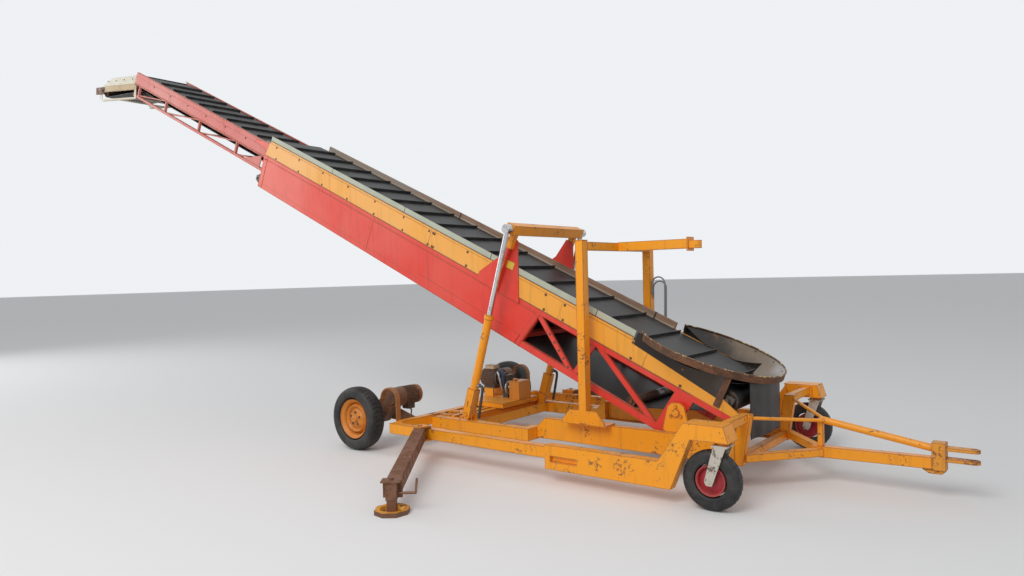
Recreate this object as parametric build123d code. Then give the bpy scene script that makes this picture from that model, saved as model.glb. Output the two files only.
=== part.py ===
from build123d import *
import math
import os

# Mobile elevating conveyor: a yellow wheeled chassis carries a red inclined boom with a
# telescopic head, lifted by two hydraulic cylinders and steadied by two outriggers.
# Millimetres, +Z up, the discharge head towards -X, the tow hitch towards +X, "near" is -Y.
# The origin is on the ground, in the middle of the overall length and width.

FRAME_X = -25.6             # brings the middle of the overall length to the origin

# Boom stance
PIVOT_X = 4055.0
PIVOT_Z = 513.0
BOOM_ANGLE = 24.5
PIVOT_RISE = 236.0          # pivot above the boom's underside
PIN_R = 30.0
FIT = 0.05                  # radial running clearance
SEAT = 0.3                  # gap between faces that slide or lie on each other

# Boom section and stations, u along the boom from the pivot, v from its underside
BOOM_HALF_W = 440.0
CHORD_W = 40.0
SHEET = 3.0
LOWER_CHORD_H = 60.0
UPPER_CHORD_V = 360.0
UPPER_CHORD_H = 90.0
TAIL_U = -437.0
BOX_U0 = 1500.0
BOX_U1 = 6010.0
BOX_SLANT = 110.0
PANEL_V1 = 575.0
PANEL_TAPER = 420.0         # length over which the panel narrows towards the tail
PANEL_LAP = 40.0            # how far it covers the upper chord
PANEL_T = 4.0
STRIP_H = 80.0
STRIP_T = 8.0
STRIP_INSET = 1017.0        # strip and board start this far up from the tail
BOARD_INSET = 1075.0
BOARD_H = 62.0
BOARD_T = 25.0

# Belts
BELT_T = 8.0
BELT_V = 570.0              # underside of the main belt's upper run
MAIN_BELT_HALF_W = 395.0
BED_T = 3.0
CLEAT_H = 30.0
CLEAT_T = 10.0
CLEAT_PITCH = 370.0
RETURN_V = 36.0
TAIL_DRUM_U = -300.0
TAIL_DRUM_R = 75.0
END_ROLLER_R = 42.0
DRUM_WALL = 6.0
SNUB_U = 420.0
SNUB_R = 40.0

# Extension section and stations
EXT_SIDE_GAP = 15.0
EXT_BEAM_W = 40.0
EXT_BEAM_V0 = 350.0
EXT_BEAM_V1 = 495.0
EXT_CHORD_V0 = 170.0
EXT_CHORD_H = 34.0
REACH_LEN = 9650.0          # from the boom's pivot to the end of the extension
EXT_LEN = 4840.0
EXT_U1 = REACH_LEN
EXT_U0 = REACH_LEN - EXT_LEN
EXT_BELT_V = 508.0
EXT_RETURN_V = 285.0
EXT_BELT_INSET = 12.0
RETURN_ROLLER_R = 42.0
HEAD_BEND = 17.0            # the head section lies this much flatter than the boom
HEAD_TOP = 906.0            # length of the head's top edge
HEAD_LEN = 1205.0           # length out to the hood's front edge
HEAD_DEPTH = 360.0
HEAD_SHEET = 4.0
HEAD_LEAN = 60.0            # how far the side plates lean in at the top
HEAD_BREAK = 120.0          # depth where they begin to lean
HEAD_SLOT_TOP = 225.0
HEAD_SLOT_LOW = 330.0
HEAD_DRUM_S = HEAD_LEN - 115.0      # the drum's centre along the head, and its depth
HEAD_DRUM_D = 200.0
HEAD_DRUM_R = 85.0
HEAD_SHAFT_R = 22.0
BEARING_REACH = 225.0
BEND_R = 70.0

# Receiving pan over the tail of the boom
HOPPER_AHEAD = 92.0         # centre of its rim from the pivot
HOPPER_RISE = 470.0
HOPPER_X = PIVOT_X + HOPPER_AHEAD
HOPPER_Z = PIVOT_Z + HOPPER_RISE
HOPPER_TILT = 19.5
HOPPER_R = 600.0
HOPPER_BAND = 55.0
HOPPER_T = 5.0
HOPPER_MOUTH_R = 300.0
HOPPER_DEPTH = 200.0
CURTAIN_BOW = 30.0          # how far the rubber curtain under it bows out
CURTAIN_HALF_W = 330.0
CURTAIN_AHEAD = 550.0
STRAP_U = -275.0
STRAP_W = 50.0
SKIRT_T = 3.0
SKIRT_U0 = -222.0
SKIRT_U1 = 560.0
HOPPER_LAP = 8.0            # how far the cone meets the band below its rim

# Stations along the chassis, all counted from the boom's pivot
CASTOR_AHEAD = 610.0
LIFT_BEHIND = 2041.0
POST_BEHIND = 775.0
CHANNEL_AHEAD = 475.0
CHANNEL_BEHIND = 1313.0
CASTOR_X = PIVOT_X + CASTOR_AHEAD
LIFT_BASE_X = PIVOT_X - LIFT_BEHIND
POST_X = PIVOT_X - POST_BEHIND
CHANNEL_X0 = PIVOT_X - CHANNEL_BEHIND
CHANNEL_X1 = PIVOT_X + CHANNEL_AHEAD
ARCH_BACK = 256.0           # the wheel arch's plate, behind and ahead of the castor
ARCH_FRONT = 63.0
SILL_LEN = 1052.0
SILL_RUN = 102.0            # length of the slanted post between the sill and the arch
TAIL_OVERHANG = 504.0       # rail ends behind the lift cylinders' base
AXLE_OVERHANG = 405.0       # drive axle behind the rail ends

# Chassis
SIDE_Y = 1130.0             # outer face of the side frames
RAIL_W = 80.0
RAIL_Z0 = 190.0
RAIL_H = 90.0
SILL_Z0 = 108.0
SILL_Z1 = 295.0
ARCH_X0 = CASTOR_X - ARCH_BACK
ARCH_X1 = CASTOR_X + ARCH_FRONT
SILL_X1 = ARCH_X0 - SILL_RUN
SILL_X0 = SILL_X1 - SILL_LEN
RAIL_X0 = LIFT_BASE_X - TAIL_OVERHANG
ARCH_Z0 = 470.0
ARCH_Z1 = 580.0
ARCH_W = 170.0
INNER_Y = 660.0
INNER_RAIL_W = 90.0
INNER_Z0 = 170.0
INNER_Z1 = 276.0
INNER_X1 = CHANNEL_X0 + 3.0
CHANNEL_Y = 530.0
CHANNEL_W = 60.0
CHANNEL_Z0 = 180.0
CHANNEL_Z1 = 360.0

# Wheels
REAR_X = RAIL_X0 - AXLE_OVERHANG
REAR_Y = 1150.0
REAR_R = 295.0
REAR_W = 165.0
REAR_RIM_R = 185.0
CASE_Y0 = -905.0            # drive gear case, its outer and inner faces
CASE_Y1 = -790.0
MOTOR_AHEAD = 190.0
MOTOR_RISE = 170.0
DRIVE_MOTOR_R = 84.0
DRIVE_MOTOR_LEN = 215.0
STAY_R = 110.0
STAY_Y0 = -1035.0
STAY_Y1 = -985.0
STAY_TOP = 585.0
HUB_INSET = 25.0            # from the wheel's middle to the hub's seat on the drive
CASTOR_Y = 1060.0
CASTOR_TRAIL = 80.0
CASTOR_R = 204.0
CASTOR_W = 100.0
CASTOR_RIM_R = 105.0
CASTOR_AXLE_R = 12.0
CASTOR_SOCKET_Z = 450.0

# Lift cylinders
LIFT_Y = 600.0
LIFT_BASE_Z = 330.0
LIFT_TOP_U = 2017.0
LIFT_TOP_V = 973.0
BARREL_LEN = 965.0
BARREL_R = 38.0
ROD_R = 24.0
FOOT_LEN = 250.0
FOOT_W = 84.0
EYE_R = 42.0
LIFT_PIN_R = 20.0
BRIDGE_W = 90.0
BRIDGE_LEG = 45.0
BRIDGE_STUB = 5.0
GUSSET_T = 10.0
GUSSET_TOP_V = 880.0
GUSSET_KINK_V = 675.0
GUSSET_BACK = 270.0
GUSSET_FRONT = 280.0
EYE_HALF = 30.0
TUBE_WALL = 5.0

# Outriggers
SWING_BACK = 49.0
SWING_X = LIFT_BASE_X - SWING_BACK
SWING_Y = 1190.0
ARM_LEN = 1354.0
ARM_AIM = -53.0             # arm's direction in plan, from +X
ARM_W = 100.0
ARM_Z0 = 196.0
ARM_H = 104.0
ARM_KNEE = 90.0             # straight hinge end, from which the arm slopes down
ARM_DROP = 90.0
JACK_W = 76.0
JACK_WALL = 6.0
JACK_Z0 = 94.0
JACK_LEG_TOP = 138.0
LEG_GAP = 0.25
PAD_R = 125.0
PAD_H = 32.0

# Feed gantry
POST_Y = 580.0
POST_W = 75.0
POST_TOP = 1880.0
ARM_REACH = 690.0
ARM_BORE_R = 18.0
HOSE_R = 7.0
HOSE_LOOP_R = 66.0
HOSE_BEND_MAX = 400.0

# Power pack
DECK_LEN = 492.0
DECK_X0 = RAIL_X0 - 10.0
DECK_X1 = DECK_X0 + DECK_LEN
DECK_Y0 = -60.0
DECK_Y1 = 520.0
DECK_Z = 340.0
PACK_Y = 300.0
MOTOR_X = DECK_X0 + 75.0
STAND_H = 90.0
TANK_L = 130.0

# Drawbar and hitch
DRAW_FRAME_LEN = 345.0
DRAW_BEAM_LEN = 760.0
HITCH_LEN = 287.0
STRUT_R = 13.0
DRAW_FOOT_X = CHANNEL_X1 + 90.0
DRAW_APEX_X = DRAW_FOOT_X + DRAW_FRAME_LEN
DRAW_END_X = DRAW_APEX_X + DRAW_BEAM_LEN
HITCH_TIP_X = DRAW_END_X + HITCH_LEN
TOW_BORE_R = 14.0


def block(x0, x1, y0, y1, z0, z1):
    """Straight block between two corners."""
    middle = Pos((x0 + x1) / 2, (y0 + y1) / 2, (z0 + z1) / 2)
    return middle * Box(abs(x1 - x0), abs(y1 - y0), abs(z1 - z0))


def slab_xz(points, y0, y1):
    """Plate of an outline in X and Z, from y0 to y1."""
    face = make_face(Polyline(*[(x, 0, z) for x, z in points], close=True))
    return Pos(0, min(y0, y1), 0) * extrude(face, amount=abs(y1 - y0), dir=(0, 1, 0))


def slab_xy(points, z0, z1):
    """Plate of an outline in X and Y, from z0 to z1."""
    face = make_face(Polyline(*[(x, y, 0) for x, y in points], close=True))
    return Pos(0, 0, z0) * extrude(face, amount=z1 - z0, dir=(0, 0, 1))


def bar_y(x, z, radius, y0, y1):
    """Round bar along Y."""
    return Pos(x, (y0 + y1) / 2, z) * Rot(90, 0, 0) * Cylinder(radius, abs(y1 - y0))


def bar_z(x, y, radius, z0, z1):
    """Round bar along Z."""
    return Pos(x, y, (z0 + z1) / 2) * Cylinder(radius, z1 - z0)


def bar_between(start, end, radius):
    """Round bar between two points."""
    a, b = Vector(*start), Vector(*end)
    plane = Plane(origin=(a + b) * 0.5, z_dir=b - a)
    return plane.location * Cylinder(radius, (b - a).length)


def beam_between(start, end, width, height, side=(0, 1, 0)):
    """Rectangular bar between two points, its width measured along side."""
    a, b = Vector(*start), Vector(*end)
    plane = Plane(origin=(a + b) * 0.5, x_dir=side, z_dir=b - a)
    return plane.location * Box(width, height, (b - a).length)


def strut(u0, v0, u1, v1, depth, y0, y1):
    """Flat strut of a lattice, between two points of the boom's side view."""
    mid_y = (y0 + y1) / 2
    return beam_between((-u0, mid_y, v0), (-u1, mid_y, v1), abs(y1 - y0), depth)


def boom_block(u0, u1, y0, y1, v0, v1):
    """Straight block in the boom's own frame."""
    return block(-u1, -u0, y0, y1, v0, v1)


def boom_slab(points, y0, y1):
    """Plate of a side outline given as (u, v)."""
    return slab_xz([(-u, v) for u, v in points], y0, y1)


def on_boom(shape):
    """Carry a shape from the boom's own frame to its place on the machine."""
    return Pos(PIVOT_X, 0, PIVOT_Z) * Rot(0, BOOM_ANGLE, 0) * Pos(0, 0, -PIVOT_RISE) * shape


def far_side(shape):
    """Mirror image on the other side of the machine."""
    return mirror(shape, about=Plane.XZ)


def both(shape):
    """A piece and its mirror image."""
    return [shape, far_side(shape)]


def fuse(parts):
    """Union of the given solids."""
    result = parts[0]
    for part in parts[1:]:
        result = result + part
    return result


def belt_line(stations, radii):
    """Points and arcs of a line that runs round the given circles, all turned the way given.

    A station is (x, z, turn); turn is +1 where the line turns to its left and -1 to its right.
    """
    legs = []
    for (x0, z0, s0), (x1, z1, s1), r0, r1 in zip(stations, stations[1:], radii, radii[1:]):
        gap = math.hypot(x1 - x0, z1 - z0)
        heading = math.atan2(z1 - z0, x1 - x0) - math.asin((s1 * r1 - s0 * r0) / gap)
        left = (-math.sin(heading), math.cos(heading))
        start = (x0 - s0 * r0 * left[0], z0 - s0 * r0 * left[1])
        end = (x1 - s1 * r1 * left[0], z1 - s1 * r1 * left[1])
        legs.append((start, end, heading))
    edges = []
    for index, (start, end, heading) in enumerate(legs):
        edges.append(Line((start[0], 0, start[1]), (end[0], 0, end[1])))
        if index + 1 < len(legs):
            x, z, turn = stations[index + 1]
            radius = radii[index + 1]
            following = legs[index + 1]
            swing = (following[2] - heading) % (2 * math.pi)
            if turn < 0:
                swing -= 2 * math.pi
            if abs(swing) * radius > 0.001:
                middle = heading + swing / 2
                mid = (x + turn * radius * math.sin(middle), z - turn * radius * math.cos(middle))
                edges.append(ThreePointArc((end[0], 0, end[1]), (mid[0], 0, mid[1]),
                                           (following[0][0], 0, following[0][1])))
    return legs, edges


def belt(circles, half_width, cleat_runs):
    """Open belt of constant thickness round the given circles, with cleats on its outer side.

    A circle is (u, v, radius, turn). cleat_runs names the straight legs that carry cleats, each
    as (leg, first, last), measured from the start of that leg.
    """
    stations = [(-u, v, turn) for u, v, radius, turn in circles]
    inner_radii = [radius if turn > 0 else radius + BELT_T for u, v, radius, turn in circles]
    outer_radii = [radius + BELT_T if turn > 0 else radius for u, v, radius, turn in circles]
    inner_legs, inner_edges = belt_line(stations, inner_radii)
    outer_legs, outer_edges = belt_line(stations, outer_radii)
    ends = [Line((a[0], 0, a[1]), (b[0], 0, b[1]))
            for a, b in ((inner_legs[0][0], outer_legs[0][0]), (inner_legs[-1][1], outer_legs[-1][1]))]
    wire = Wire.combine([*inner_edges, *outer_edges, *ends])[0]
    solid = extrude(Face(wire), amount=half_width, dir=(0, 1, 0), both=True)
    for leg, first, last in cleat_runs:
        start, end, heading = outer_legs[leg]
        count = int((last - first) // CLEAT_PITCH) + 1
        for index in range(count):
            run = first + index * CLEAT_PITCH
            foot = (start[0] + run * math.cos(heading), start[1] + run * math.sin(heading))
            out = (math.sin(heading), -math.cos(heading))
            rise = CLEAT_H / 2 - BELT_T / 4
            centre = (foot[0] + out[0] * rise, foot[1] + out[1] * rise)
            turn = Rot(0, -math.degrees(heading), 0)
            cleat = Box(CLEAT_T, 2 * half_width - 4 * CLEAT_T, CLEAT_H + BELT_T / 2)
            solid = solid + Pos(centre[0], 0, centre[1]) * turn * cleat
    return solid


def lathe_y(profile, x, y, z):
    """Solid turned about an axis along Y, from (radius, offset along Y) points."""
    face = make_face(Polyline(*[(r, w, 0) for r, w in profile], close=True))
    return Pos(x, y, z) * revolve(face, axis=Axis.Y)


# Boom: two welded sides joined by cross ties, carrying the slider bed and the side panels
BOOM_Y0 = -BOOM_HALF_W
BOOM_Y1 = BOOM_Y0 + CHORD_W
UPPER_CHORD_TOP = UPPER_CHORD_V + UPPER_CHORD_H


def boom_side():
    """Near side of the boom: chords, lattice at the foot, pivot plate and the deep red box."""
    upper = boom_block(TAIL_U, BOX_U1, BOOM_Y0, BOOM_Y1, UPPER_CHORD_V, UPPER_CHORD_TOP)
    hollow = boom_block(BOX_U0, BOX_U1 - SHEET, BOOM_Y0 + SHEET, BOOM_Y1 - SHEET,
                        UPPER_CHORD_V + SHEET, UPPER_CHORD_TOP - SHEET)
    lower = boom_block(60, BOX_U1, BOOM_Y0, BOOM_Y1, 0, LOWER_CHORD_H)
    lower_hollow = boom_block(BOX_U0, BOX_U1 - SHEET, BOOM_Y0 + SHEET, BOOM_Y1 - SHEET,
                              SHEET, LOWER_CHORD_H - SHEET)
    sheet = boom_slab([(BOX_U0 + BOX_SLANT, 0), (BOX_U0, UPPER_CHORD_V + 5),
                       (BOX_U1, UPPER_CHORD_V + 5), (BOX_U1, 0)], BOOM_Y0, BOOM_Y0 + SHEET)
    lip = strut(BOX_U0 + BOX_SLANT + 20, 0, BOX_U0 + 20, UPPER_CHORD_V + 5, 40, BOOM_Y0, BOOM_Y1)
    end_post = boom_block(BOX_U1 - 40, BOX_U1, BOOM_Y0, BOOM_Y1 - 15, 0, UPPER_CHORD_V + 5)
    plate = boom_slab([(150, 0), (-10, 0), (-75, UPPER_CHORD_V + 5), (95, UPPER_CHORD_V + 5)],
                      BOOM_Y0, BOOM_Y0 + 30)
    # lattice members: u and v of the top end, u and v of the bottom end, depth
    lattice = [(BOX_U0 + 10, 352, 1010, 42, 45), (900, 372, 985, 42, 45), (850, 372, 160, 42, 45)]
    bars = [strut(u0, v0, u1, v1, depth, BOOM_Y0 + 4, BOOM_Y0 + 28)
            for u0, v0, u1, v1, depth in lattice]
    side = (upper - hollow) + (lower - lower_hollow)
    side = fuse([side, sheet, lip, end_post, plate, *bars])
    bore = bar_y(0, PIVOT_RISE, PIN_R + FIT, BOOM_Y0 - 5, BOOM_Y0 + 35)
    return side - bore


def guide_pad(u):
    """Block inside the upper chord that the extension slides along."""
    y1 = BOOM_Y1 + EXT_SIDE_GAP - SEAT
    return boom_block(u, u + 120, BOOM_Y1, y1, UPPER_CHORD_V + 15, UPPER_CHORD_TOP - 15)


def boom_ties():
    """Cross tubes between the sides, the slider bed and the guide pads."""
    v0 = RETURN_V + BELT_T + 16
    ties = [boom_block(u, u + 50, BOOM_Y1, -BOOM_Y1, v0, v0 + 50) for u in (1640, 3100, 4560, 5860)]
    tail = boom_block(TAIL_U, TAIL_U + 40, BOOM_Y1, -BOOM_Y1, UPPER_CHORD_V, UPPER_CHORD_V + 40)
    pads = [pad for u in (4900, BOX_U1 - 130) for pad in both(guide_pad(u))]
    return [*ties, tail, *pads]


def slider_bed():
    """Sheet under the belt, held between the side panels."""
    v1 = BELT_V - SEAT
    return boom_block(TAIL_DRUM_U + 110, BOX_U1 + 20, -BOOM_HALF_W, BOOM_HALF_W, v1 - BED_T, v1)


def side_panel():
    """Yellow sheet bolted to the outside of the near side, narrowed towards the tail."""
    low = UPPER_CHORD_TOP - PANEL_LAP
    outline = [(TAIL_U - 10, low), (TAIL_U - 10, UPPER_CHORD_TOP + 5), (TAIL_U + PANEL_TAPER, PANEL_V1),
               (BOX_U1 - 60, PANEL_V1), (BOX_U1 - 20, low), (TAIL_U + 80, low)]
    return boom_slab(outline, BOOM_Y0 - PANEL_T, BOOM_Y0)


def main_belt():
    """Belt of the boom: end roller, return run, tail drum and the carrying run."""
    circles = [
        (5000, RETURN_V + 2 * END_ROLLER_R + BELT_T, 0, 1),
        (BOX_U1 + 60, RETURN_V + END_ROLLER_R + BELT_T, END_ROLLER_R, 1),
        (SNUB_U, RETURN_V + SNUB_R + BELT_T, SNUB_R, 1),
        (TAIL_DRUM_U, BELT_V - TAIL_DRUM_R, TAIL_DRUM_R, 1),
        (BOX_U1 + 70, BELT_V, 0, 1),
    ]
    runs = [(1, 150, BOX_U1 - 510), (3, 120, BOX_U1 - TAIL_DRUM_U + 40)]
    return belt(circles, MAIN_BELT_HALF_W, runs)


def drum(u, v, radius, half_width, shaft_r, shaft_half):
    """Drum of steel tube with recessed end discs on its shaft, across the boom."""
    shell = bar_y(-u, v, radius - SEAT, -half_width, half_width)
    inside = bar_y(-u, v, radius - SEAT - DRUM_WALL, -half_width, half_width)
    discs = [bar_y(-u, v, radius - DRUM_WALL, side * (half_width - 12), side * (half_width - 20))
             for side in (-1, 1)]
    return fuse([shell - inside, *discs, bar_y(-u, v, shaft_r, -shaft_half, shaft_half)])


def lift_bridge():
    """Yellow cross beam over the boom, on two short legs that stand on the red brackets."""
    half = LIFT_Y - EYE_HALF - SEAT - BRIDGE_STUB
    u0, u1 = LIFT_TOP_U - BRIDGE_W / 2, LIFT_TOP_U + BRIDGE_W / 2
    v0, v1 = LIFT_TOP_V - BRIDGE_W / 2, LIFT_TOP_V + BRIDGE_W / 2
    beam = boom_block(u0, u1, -half, half, v0, v1)
    inner = boom_block(u0 + TUBE_WALL, u1 - TUBE_WALL, -half + TUBE_WALL, half - TUBE_WALL,
                       v0 + TUBE_WALL, v1 - TUBE_WALL)
    y0 = BOOM_Y0 - PANEL_T - GUSSET_T
    leg = boom_block(LIFT_TOP_U - 30, LIFT_TOP_U + 30, y0 - BRIDGE_LEG, y0, GUSSET_TOP_V - 90, v0)
    return fuse([beam - inner, *both(leg)])


def bridge_gusset():
    """Red bracket plate on the near side that carries the lift bridge, with a stiffening web."""
    foot_u0, foot_u1 = LIFT_TOP_U - GUSSET_BACK, LIFT_TOP_U + GUSSET_FRONT
    outline = [(foot_u0, UPPER_CHORD_V), (foot_u1, UPPER_CHORD_V), (foot_u1 - 10, UPPER_CHORD_TOP),
               (LIFT_TOP_U + 96, GUSSET_KINK_V), (LIFT_TOP_U + 42, GUSSET_TOP_V),
               (LIFT_TOP_U - 42, GUSSET_TOP_V), (foot_u0 + 40, UPPER_CHORD_TOP)]
    y0 = BOOM_Y0 - PANEL_T
    plate = boom_slab(outline, y0 - GUSSET_T, y0)
    web = boom_block(LIFT_TOP_U - 8, LIFT_TOP_U + 8, y0 - GUSSET_T - 45, y0 - GUSSET_T,
                     UPPER_CHORD_V, GUSSET_TOP_V - 90)
    return plate + web


def hopper_frame(shape):
    """Carry a shape from the hopper's own frame, its rim plane at z = 0, to the machine."""
    return Pos(HOPPER_X, 0, HOPPER_Z) * Rot(0, HOPPER_TILT, 0) * shape


def below_pan(shape, gap, rim=HOPPER_BAND):
    """What is left of a shape under the pan's cone and rim, this far below them."""
    low = -HOPPER_DEPTH - HOPPER_T - gap
    high = -rim - gap
    slope = (HOPPER_DEPTH - HOPPER_LAP) / (HOPPER_R - 1 - HOPPER_MOUTH_R)
    level_r = HOPPER_MOUTH_R + (high - low) / slope
    profile = [(0, low), (HOPPER_MOUTH_R, low), (level_r, high), (HOPPER_R + 60, high),
               (HOPPER_R + 60, 500), (0, 500)]
    face = make_face(Polyline(*[(r, 0, z) for r, z in profile], close=True))
    return shape - hopper_frame(revolve(face, axis=Axis.Z))


def hopper_pan():
    """Round pan: rim band and cone, cut away where the belt leaves it, with a skirt on each side."""
    band = [(HOPPER_R - HOPPER_T, -HOPPER_BAND), (HOPPER_R, -HOPPER_BAND), (HOPPER_R, 0),
            (HOPPER_R - HOPPER_T, 0)]
    cone = [(HOPPER_R - 1, -HOPPER_LAP), (HOPPER_R - 1, -HOPPER_LAP - HOPPER_T),
            (HOPPER_MOUTH_R, -HOPPER_DEPTH - HOPPER_T),
            (HOPPER_MOUTH_R, -HOPPER_DEPTH)]
    ring = [make_face(Polyline(*[(r, 0, z) for r, z in line], close=True)) for line in (band, cone)]
    pan = fuse([revolve(face, axis=Axis.Z) for face in ring])
    pan = hopper_frame(pan)
    corridor = on_boom(boom_block(-200, 1400, -MAIN_BELT_HALF_W - 12, MAIN_BELT_HALF_W + 12,
                                  BELT_V - 60, BELT_V + 400))
    sides = on_boom(boom_block(TAIL_U - 12, 1400, -BOOM_HALF_W - 12, BOOM_HALF_W + 12, 0, PANEL_V1 + 6))
    strips = on_boom(boom_block(TAIL_U + STRIP_INSET - 20, 1400, -BOOM_HALF_W - 40, BOOM_HALF_W + 40,
                                PANEL_V1 - 5, PANEL_V1 + STRIP_H + 8))
    y0 = BOOM_Y0 - PANEL_T
    skirt = boom_slab([(SKIRT_U0, PANEL_V1 - 90), (SKIRT_U1, PANEL_V1 - 30), (SKIRT_U1, PANEL_V1 + 90),
                       (SKIRT_U0, PANEL_V1 + 200)], y0 - SKIRT_T, y0)
    skirt = below_pan(on_boom(skirt), -HOPPER_T / 2, HOPPER_LAP + HOPPER_T).solids().sort_by(Axis.Z)[0]
    return fuse([pan - corridor - sides - strips, *both(skirt)])


def hopper_brackets():
    """Straps from the side panels up to the underside of the pan."""
    y0 = BOOM_Y0 - PANEL_T
    strap = boom_block(STRAP_U, STRAP_U + STRAP_W, y0 - 10, y0, PANEL_V1 - 150, PANEL_V1 + 220)
    return both(below_pan(on_boom(strap), SEAT).solids().sort_by(Axis.Z)[0])


def tail_curtain():
    """Black rubber curtain that hangs under the pan behind the tail drum."""
    back = PIVOT_X + CURTAIN_AHEAD
    arc = [(back - CURTAIN_BOW * (k / 5) ** 2, -CURTAIN_HALF_W * k / 5) for k in range(5, -1, -1)]
    arc = arc + [(x, -y) for x, y in arc[-2::-1]]
    outer = [(x + 8, y) for x, y in arc]
    return below_pan(slab_xy([*arc, *outer[::-1]], 330, 900), SEAT)


def end_roller():
    """Black roller under the box's upper end, on two yellow brackets."""
    v = RETURN_V + END_ROLLER_R + BELT_T
    u = BOX_U1 + 60
    roller = drum(u, v, END_ROLLER_R, MAIN_BELT_HALF_W + 5, 12, BOOM_HALF_W - 2)
    plates = [boom_slab([(BOX_U1, v - 60), (BOX_U1, v + 70), (u + 25, v + 30), (u + 25, v - 25)],
                        side * (BOOM_HALF_W - 20), side * (BOOM_HALF_W - 12)) for side in (-1, 1)]
    return fuse([roller, *plates])


def tail_drum():
    """Tail drum on its shaft between the boom's sides, with its bearing plates."""
    v = BELT_V - TAIL_DRUM_R
    body = drum(TAIL_DRUM_U, v, TAIL_DRUM_R, MAIN_BELT_HALF_W, 20, BOOM_HALF_W - 2)
    snub = drum(SNUB_U, RETURN_V + BELT_T + SNUB_R, SNUB_R, MAIN_BELT_HALF_W, 12, -BOOM_Y1)
    plates = [boom_block(TAIL_DRUM_U - 50, TAIL_DRUM_U + 50, side * (BOOM_HALF_W - 30),
                         side * (BOOM_HALF_W - 22), UPPER_CHORD_TOP, v + 45) for side in (-1, 1)]
    return [fuse([body, *plates]), snub]


# Extension: telescopic lattice that slides inside the box, with the bent head at its end
EXT_Y0 = BOOM_Y1 + EXT_SIDE_GAP
EXT_Y1 = EXT_Y0 + EXT_BEAM_W
EXT_BAY = 965.0


def extension_side():
    """Near side of the extension: open channel beam, lower chord, posts and diagonals."""
    beam = boom_block(EXT_U0, EXT_U1, EXT_Y0, EXT_Y1, EXT_BEAM_V0, EXT_BEAM_V1)
    groove = boom_block(EXT_U0, EXT_U1, EXT_Y0 + 4, EXT_Y1, EXT_BEAM_V0 + 5, EXT_BEAM_V1 - 5)
    chord = boom_block(EXT_U0, EXT_U1, EXT_Y0, EXT_Y0 + EXT_CHORD_H, EXT_CHORD_V0,
                       EXT_CHORD_V0 + EXT_CHORD_H)
    posts = [boom_block(u - 15, u + 15, EXT_Y0, EXT_Y0 + 30, EXT_CHORD_V0 + 5, EXT_BEAM_V0 + 3)
             for u in (EXT_U1 - 150, EXT_U0 + 70)]
    u = EXT_U1 - 20
    while u > EXT_U0 + 100:
        posts.append(boom_block(u - 15, u + 15, EXT_Y0, EXT_Y0 + 30, EXT_CHORD_V0 + 5, EXT_BEAM_V0 + 3))
        if u - EXT_BAY > EXT_U0:
            posts.append(strut(u - 10, EXT_CHORD_V0 + 25, u - EXT_BAY + 10, EXT_BEAM_V0 + 2, 16,
                               EXT_Y0 + 6, EXT_Y0 + 22))
        u -= EXT_BAY
    gusset = boom_slab([(6150, EXT_CHORD_V0 + 10), (6580, EXT_CHORD_V0 + 10), (6150, EXT_BEAM_V0 + 5)],
                       EXT_Y0 + 4, EXT_Y0 + 12)
    return fuse([beam - groove, chord, *posts, gusset])


def extension_ties():
    """Cross tubes between the extension's sides, between and below the belt's two runs."""
    tubes = []
    u = EXT_U1 - 20
    while u > EXT_U0:
        tubes.append(boom_block(u - 15, u + 15, EXT_Y0 + 4, -EXT_Y0 - 4, EXT_BELT_V - 134, EXT_BELT_V - 104))
        tubes.append(boom_block(u - 15, u + 15, EXT_Y0 + EXT_CHORD_H, -EXT_Y0 - EXT_CHORD_H,
                                EXT_CHORD_V0, EXT_CHORD_V0 + 15))
        u -= EXT_BAY
    return tubes


def head_block(s0, s1, y0, y1, d0, d1):
    """Block in the head's frame: s along the head, d up from its top edge."""
    return block(-s1, -s0, y0, y1, d0, d1)


def on_head(shape):
    """Carry a shape from the head's frame to the boom's frame."""
    return Pos(-EXT_U1, 0, EXT_BEAM_V1) * Rot(0, -HEAD_BEND, 0) * shape


def head_hood():
    """Cream hood of the head: side plates that lean in at the top, open below, cut at the front."""
    y0 = EXT_Y0 - HEAD_SHEET
    section = [(y0, -HEAD_DEPTH), (y0, -HEAD_BREAK), (y0 + HEAD_LEAN, 0),
               (y0 + HEAD_LEAN + HEAD_SHEET, 0), (y0 + HEAD_SHEET, -HEAD_BREAK),
               (y0 + HEAD_SHEET, -HEAD_DEPTH)]
    face = make_face(Polyline(*[(0, y, z) for y, z in section], close=True))
    side = extrude(face, amount=HEAD_LEN, dir=(-1, 0, 0))
    front = slab_xz([(-HEAD_TOP, 5), (-HEAD_TOP, 0), (-HEAD_LEN, -HEAD_SLOT_TOP + 15), (-HEAD_LEN - 5, 5)],
                    -600, 0)
    slot = head_block(60, HEAD_LEN - 90, y0 - 5, y0 + 10, -HEAD_SLOT_LOW, -HEAD_SLOT_TOP)
    chin = slab_xz([(-HEAD_LEN + 90, -HEAD_DEPTH - 5), (-HEAD_LEN, -HEAD_SLOT_LOW + 20),
                    (-HEAD_LEN - 5, -HEAD_DEPTH - 5)], -600, 0)
    lip = head_block(0, HEAD_LEN - 95, y0, y0 + 30, -HEAD_DEPTH, -HEAD_DEPTH + 4)
    side = (side - front - slot - chin) + lip
    ties = [head_block(s, s + 30, y0 + HEAD_SHEET, -y0 - HEAD_SHEET, -HEAD_DEPTH + 4, -HEAD_SLOT_LOW - 4)
            for s in (70, 600)]
    u, v = head_drum_place()
    shaft = bar_y(-u, v, HEAD_SHAFT_R + SEAT, -600, 600)
    beam_end = boom_block(EXT_U1 - 400, EXT_U1 + SEAT, -600, 600, EXT_BEAM_V0 - 10, EXT_BEAM_V1 + 200)
    return on_head(fuse([side, far_side(side), *ties])) - beam_end - shaft


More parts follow.
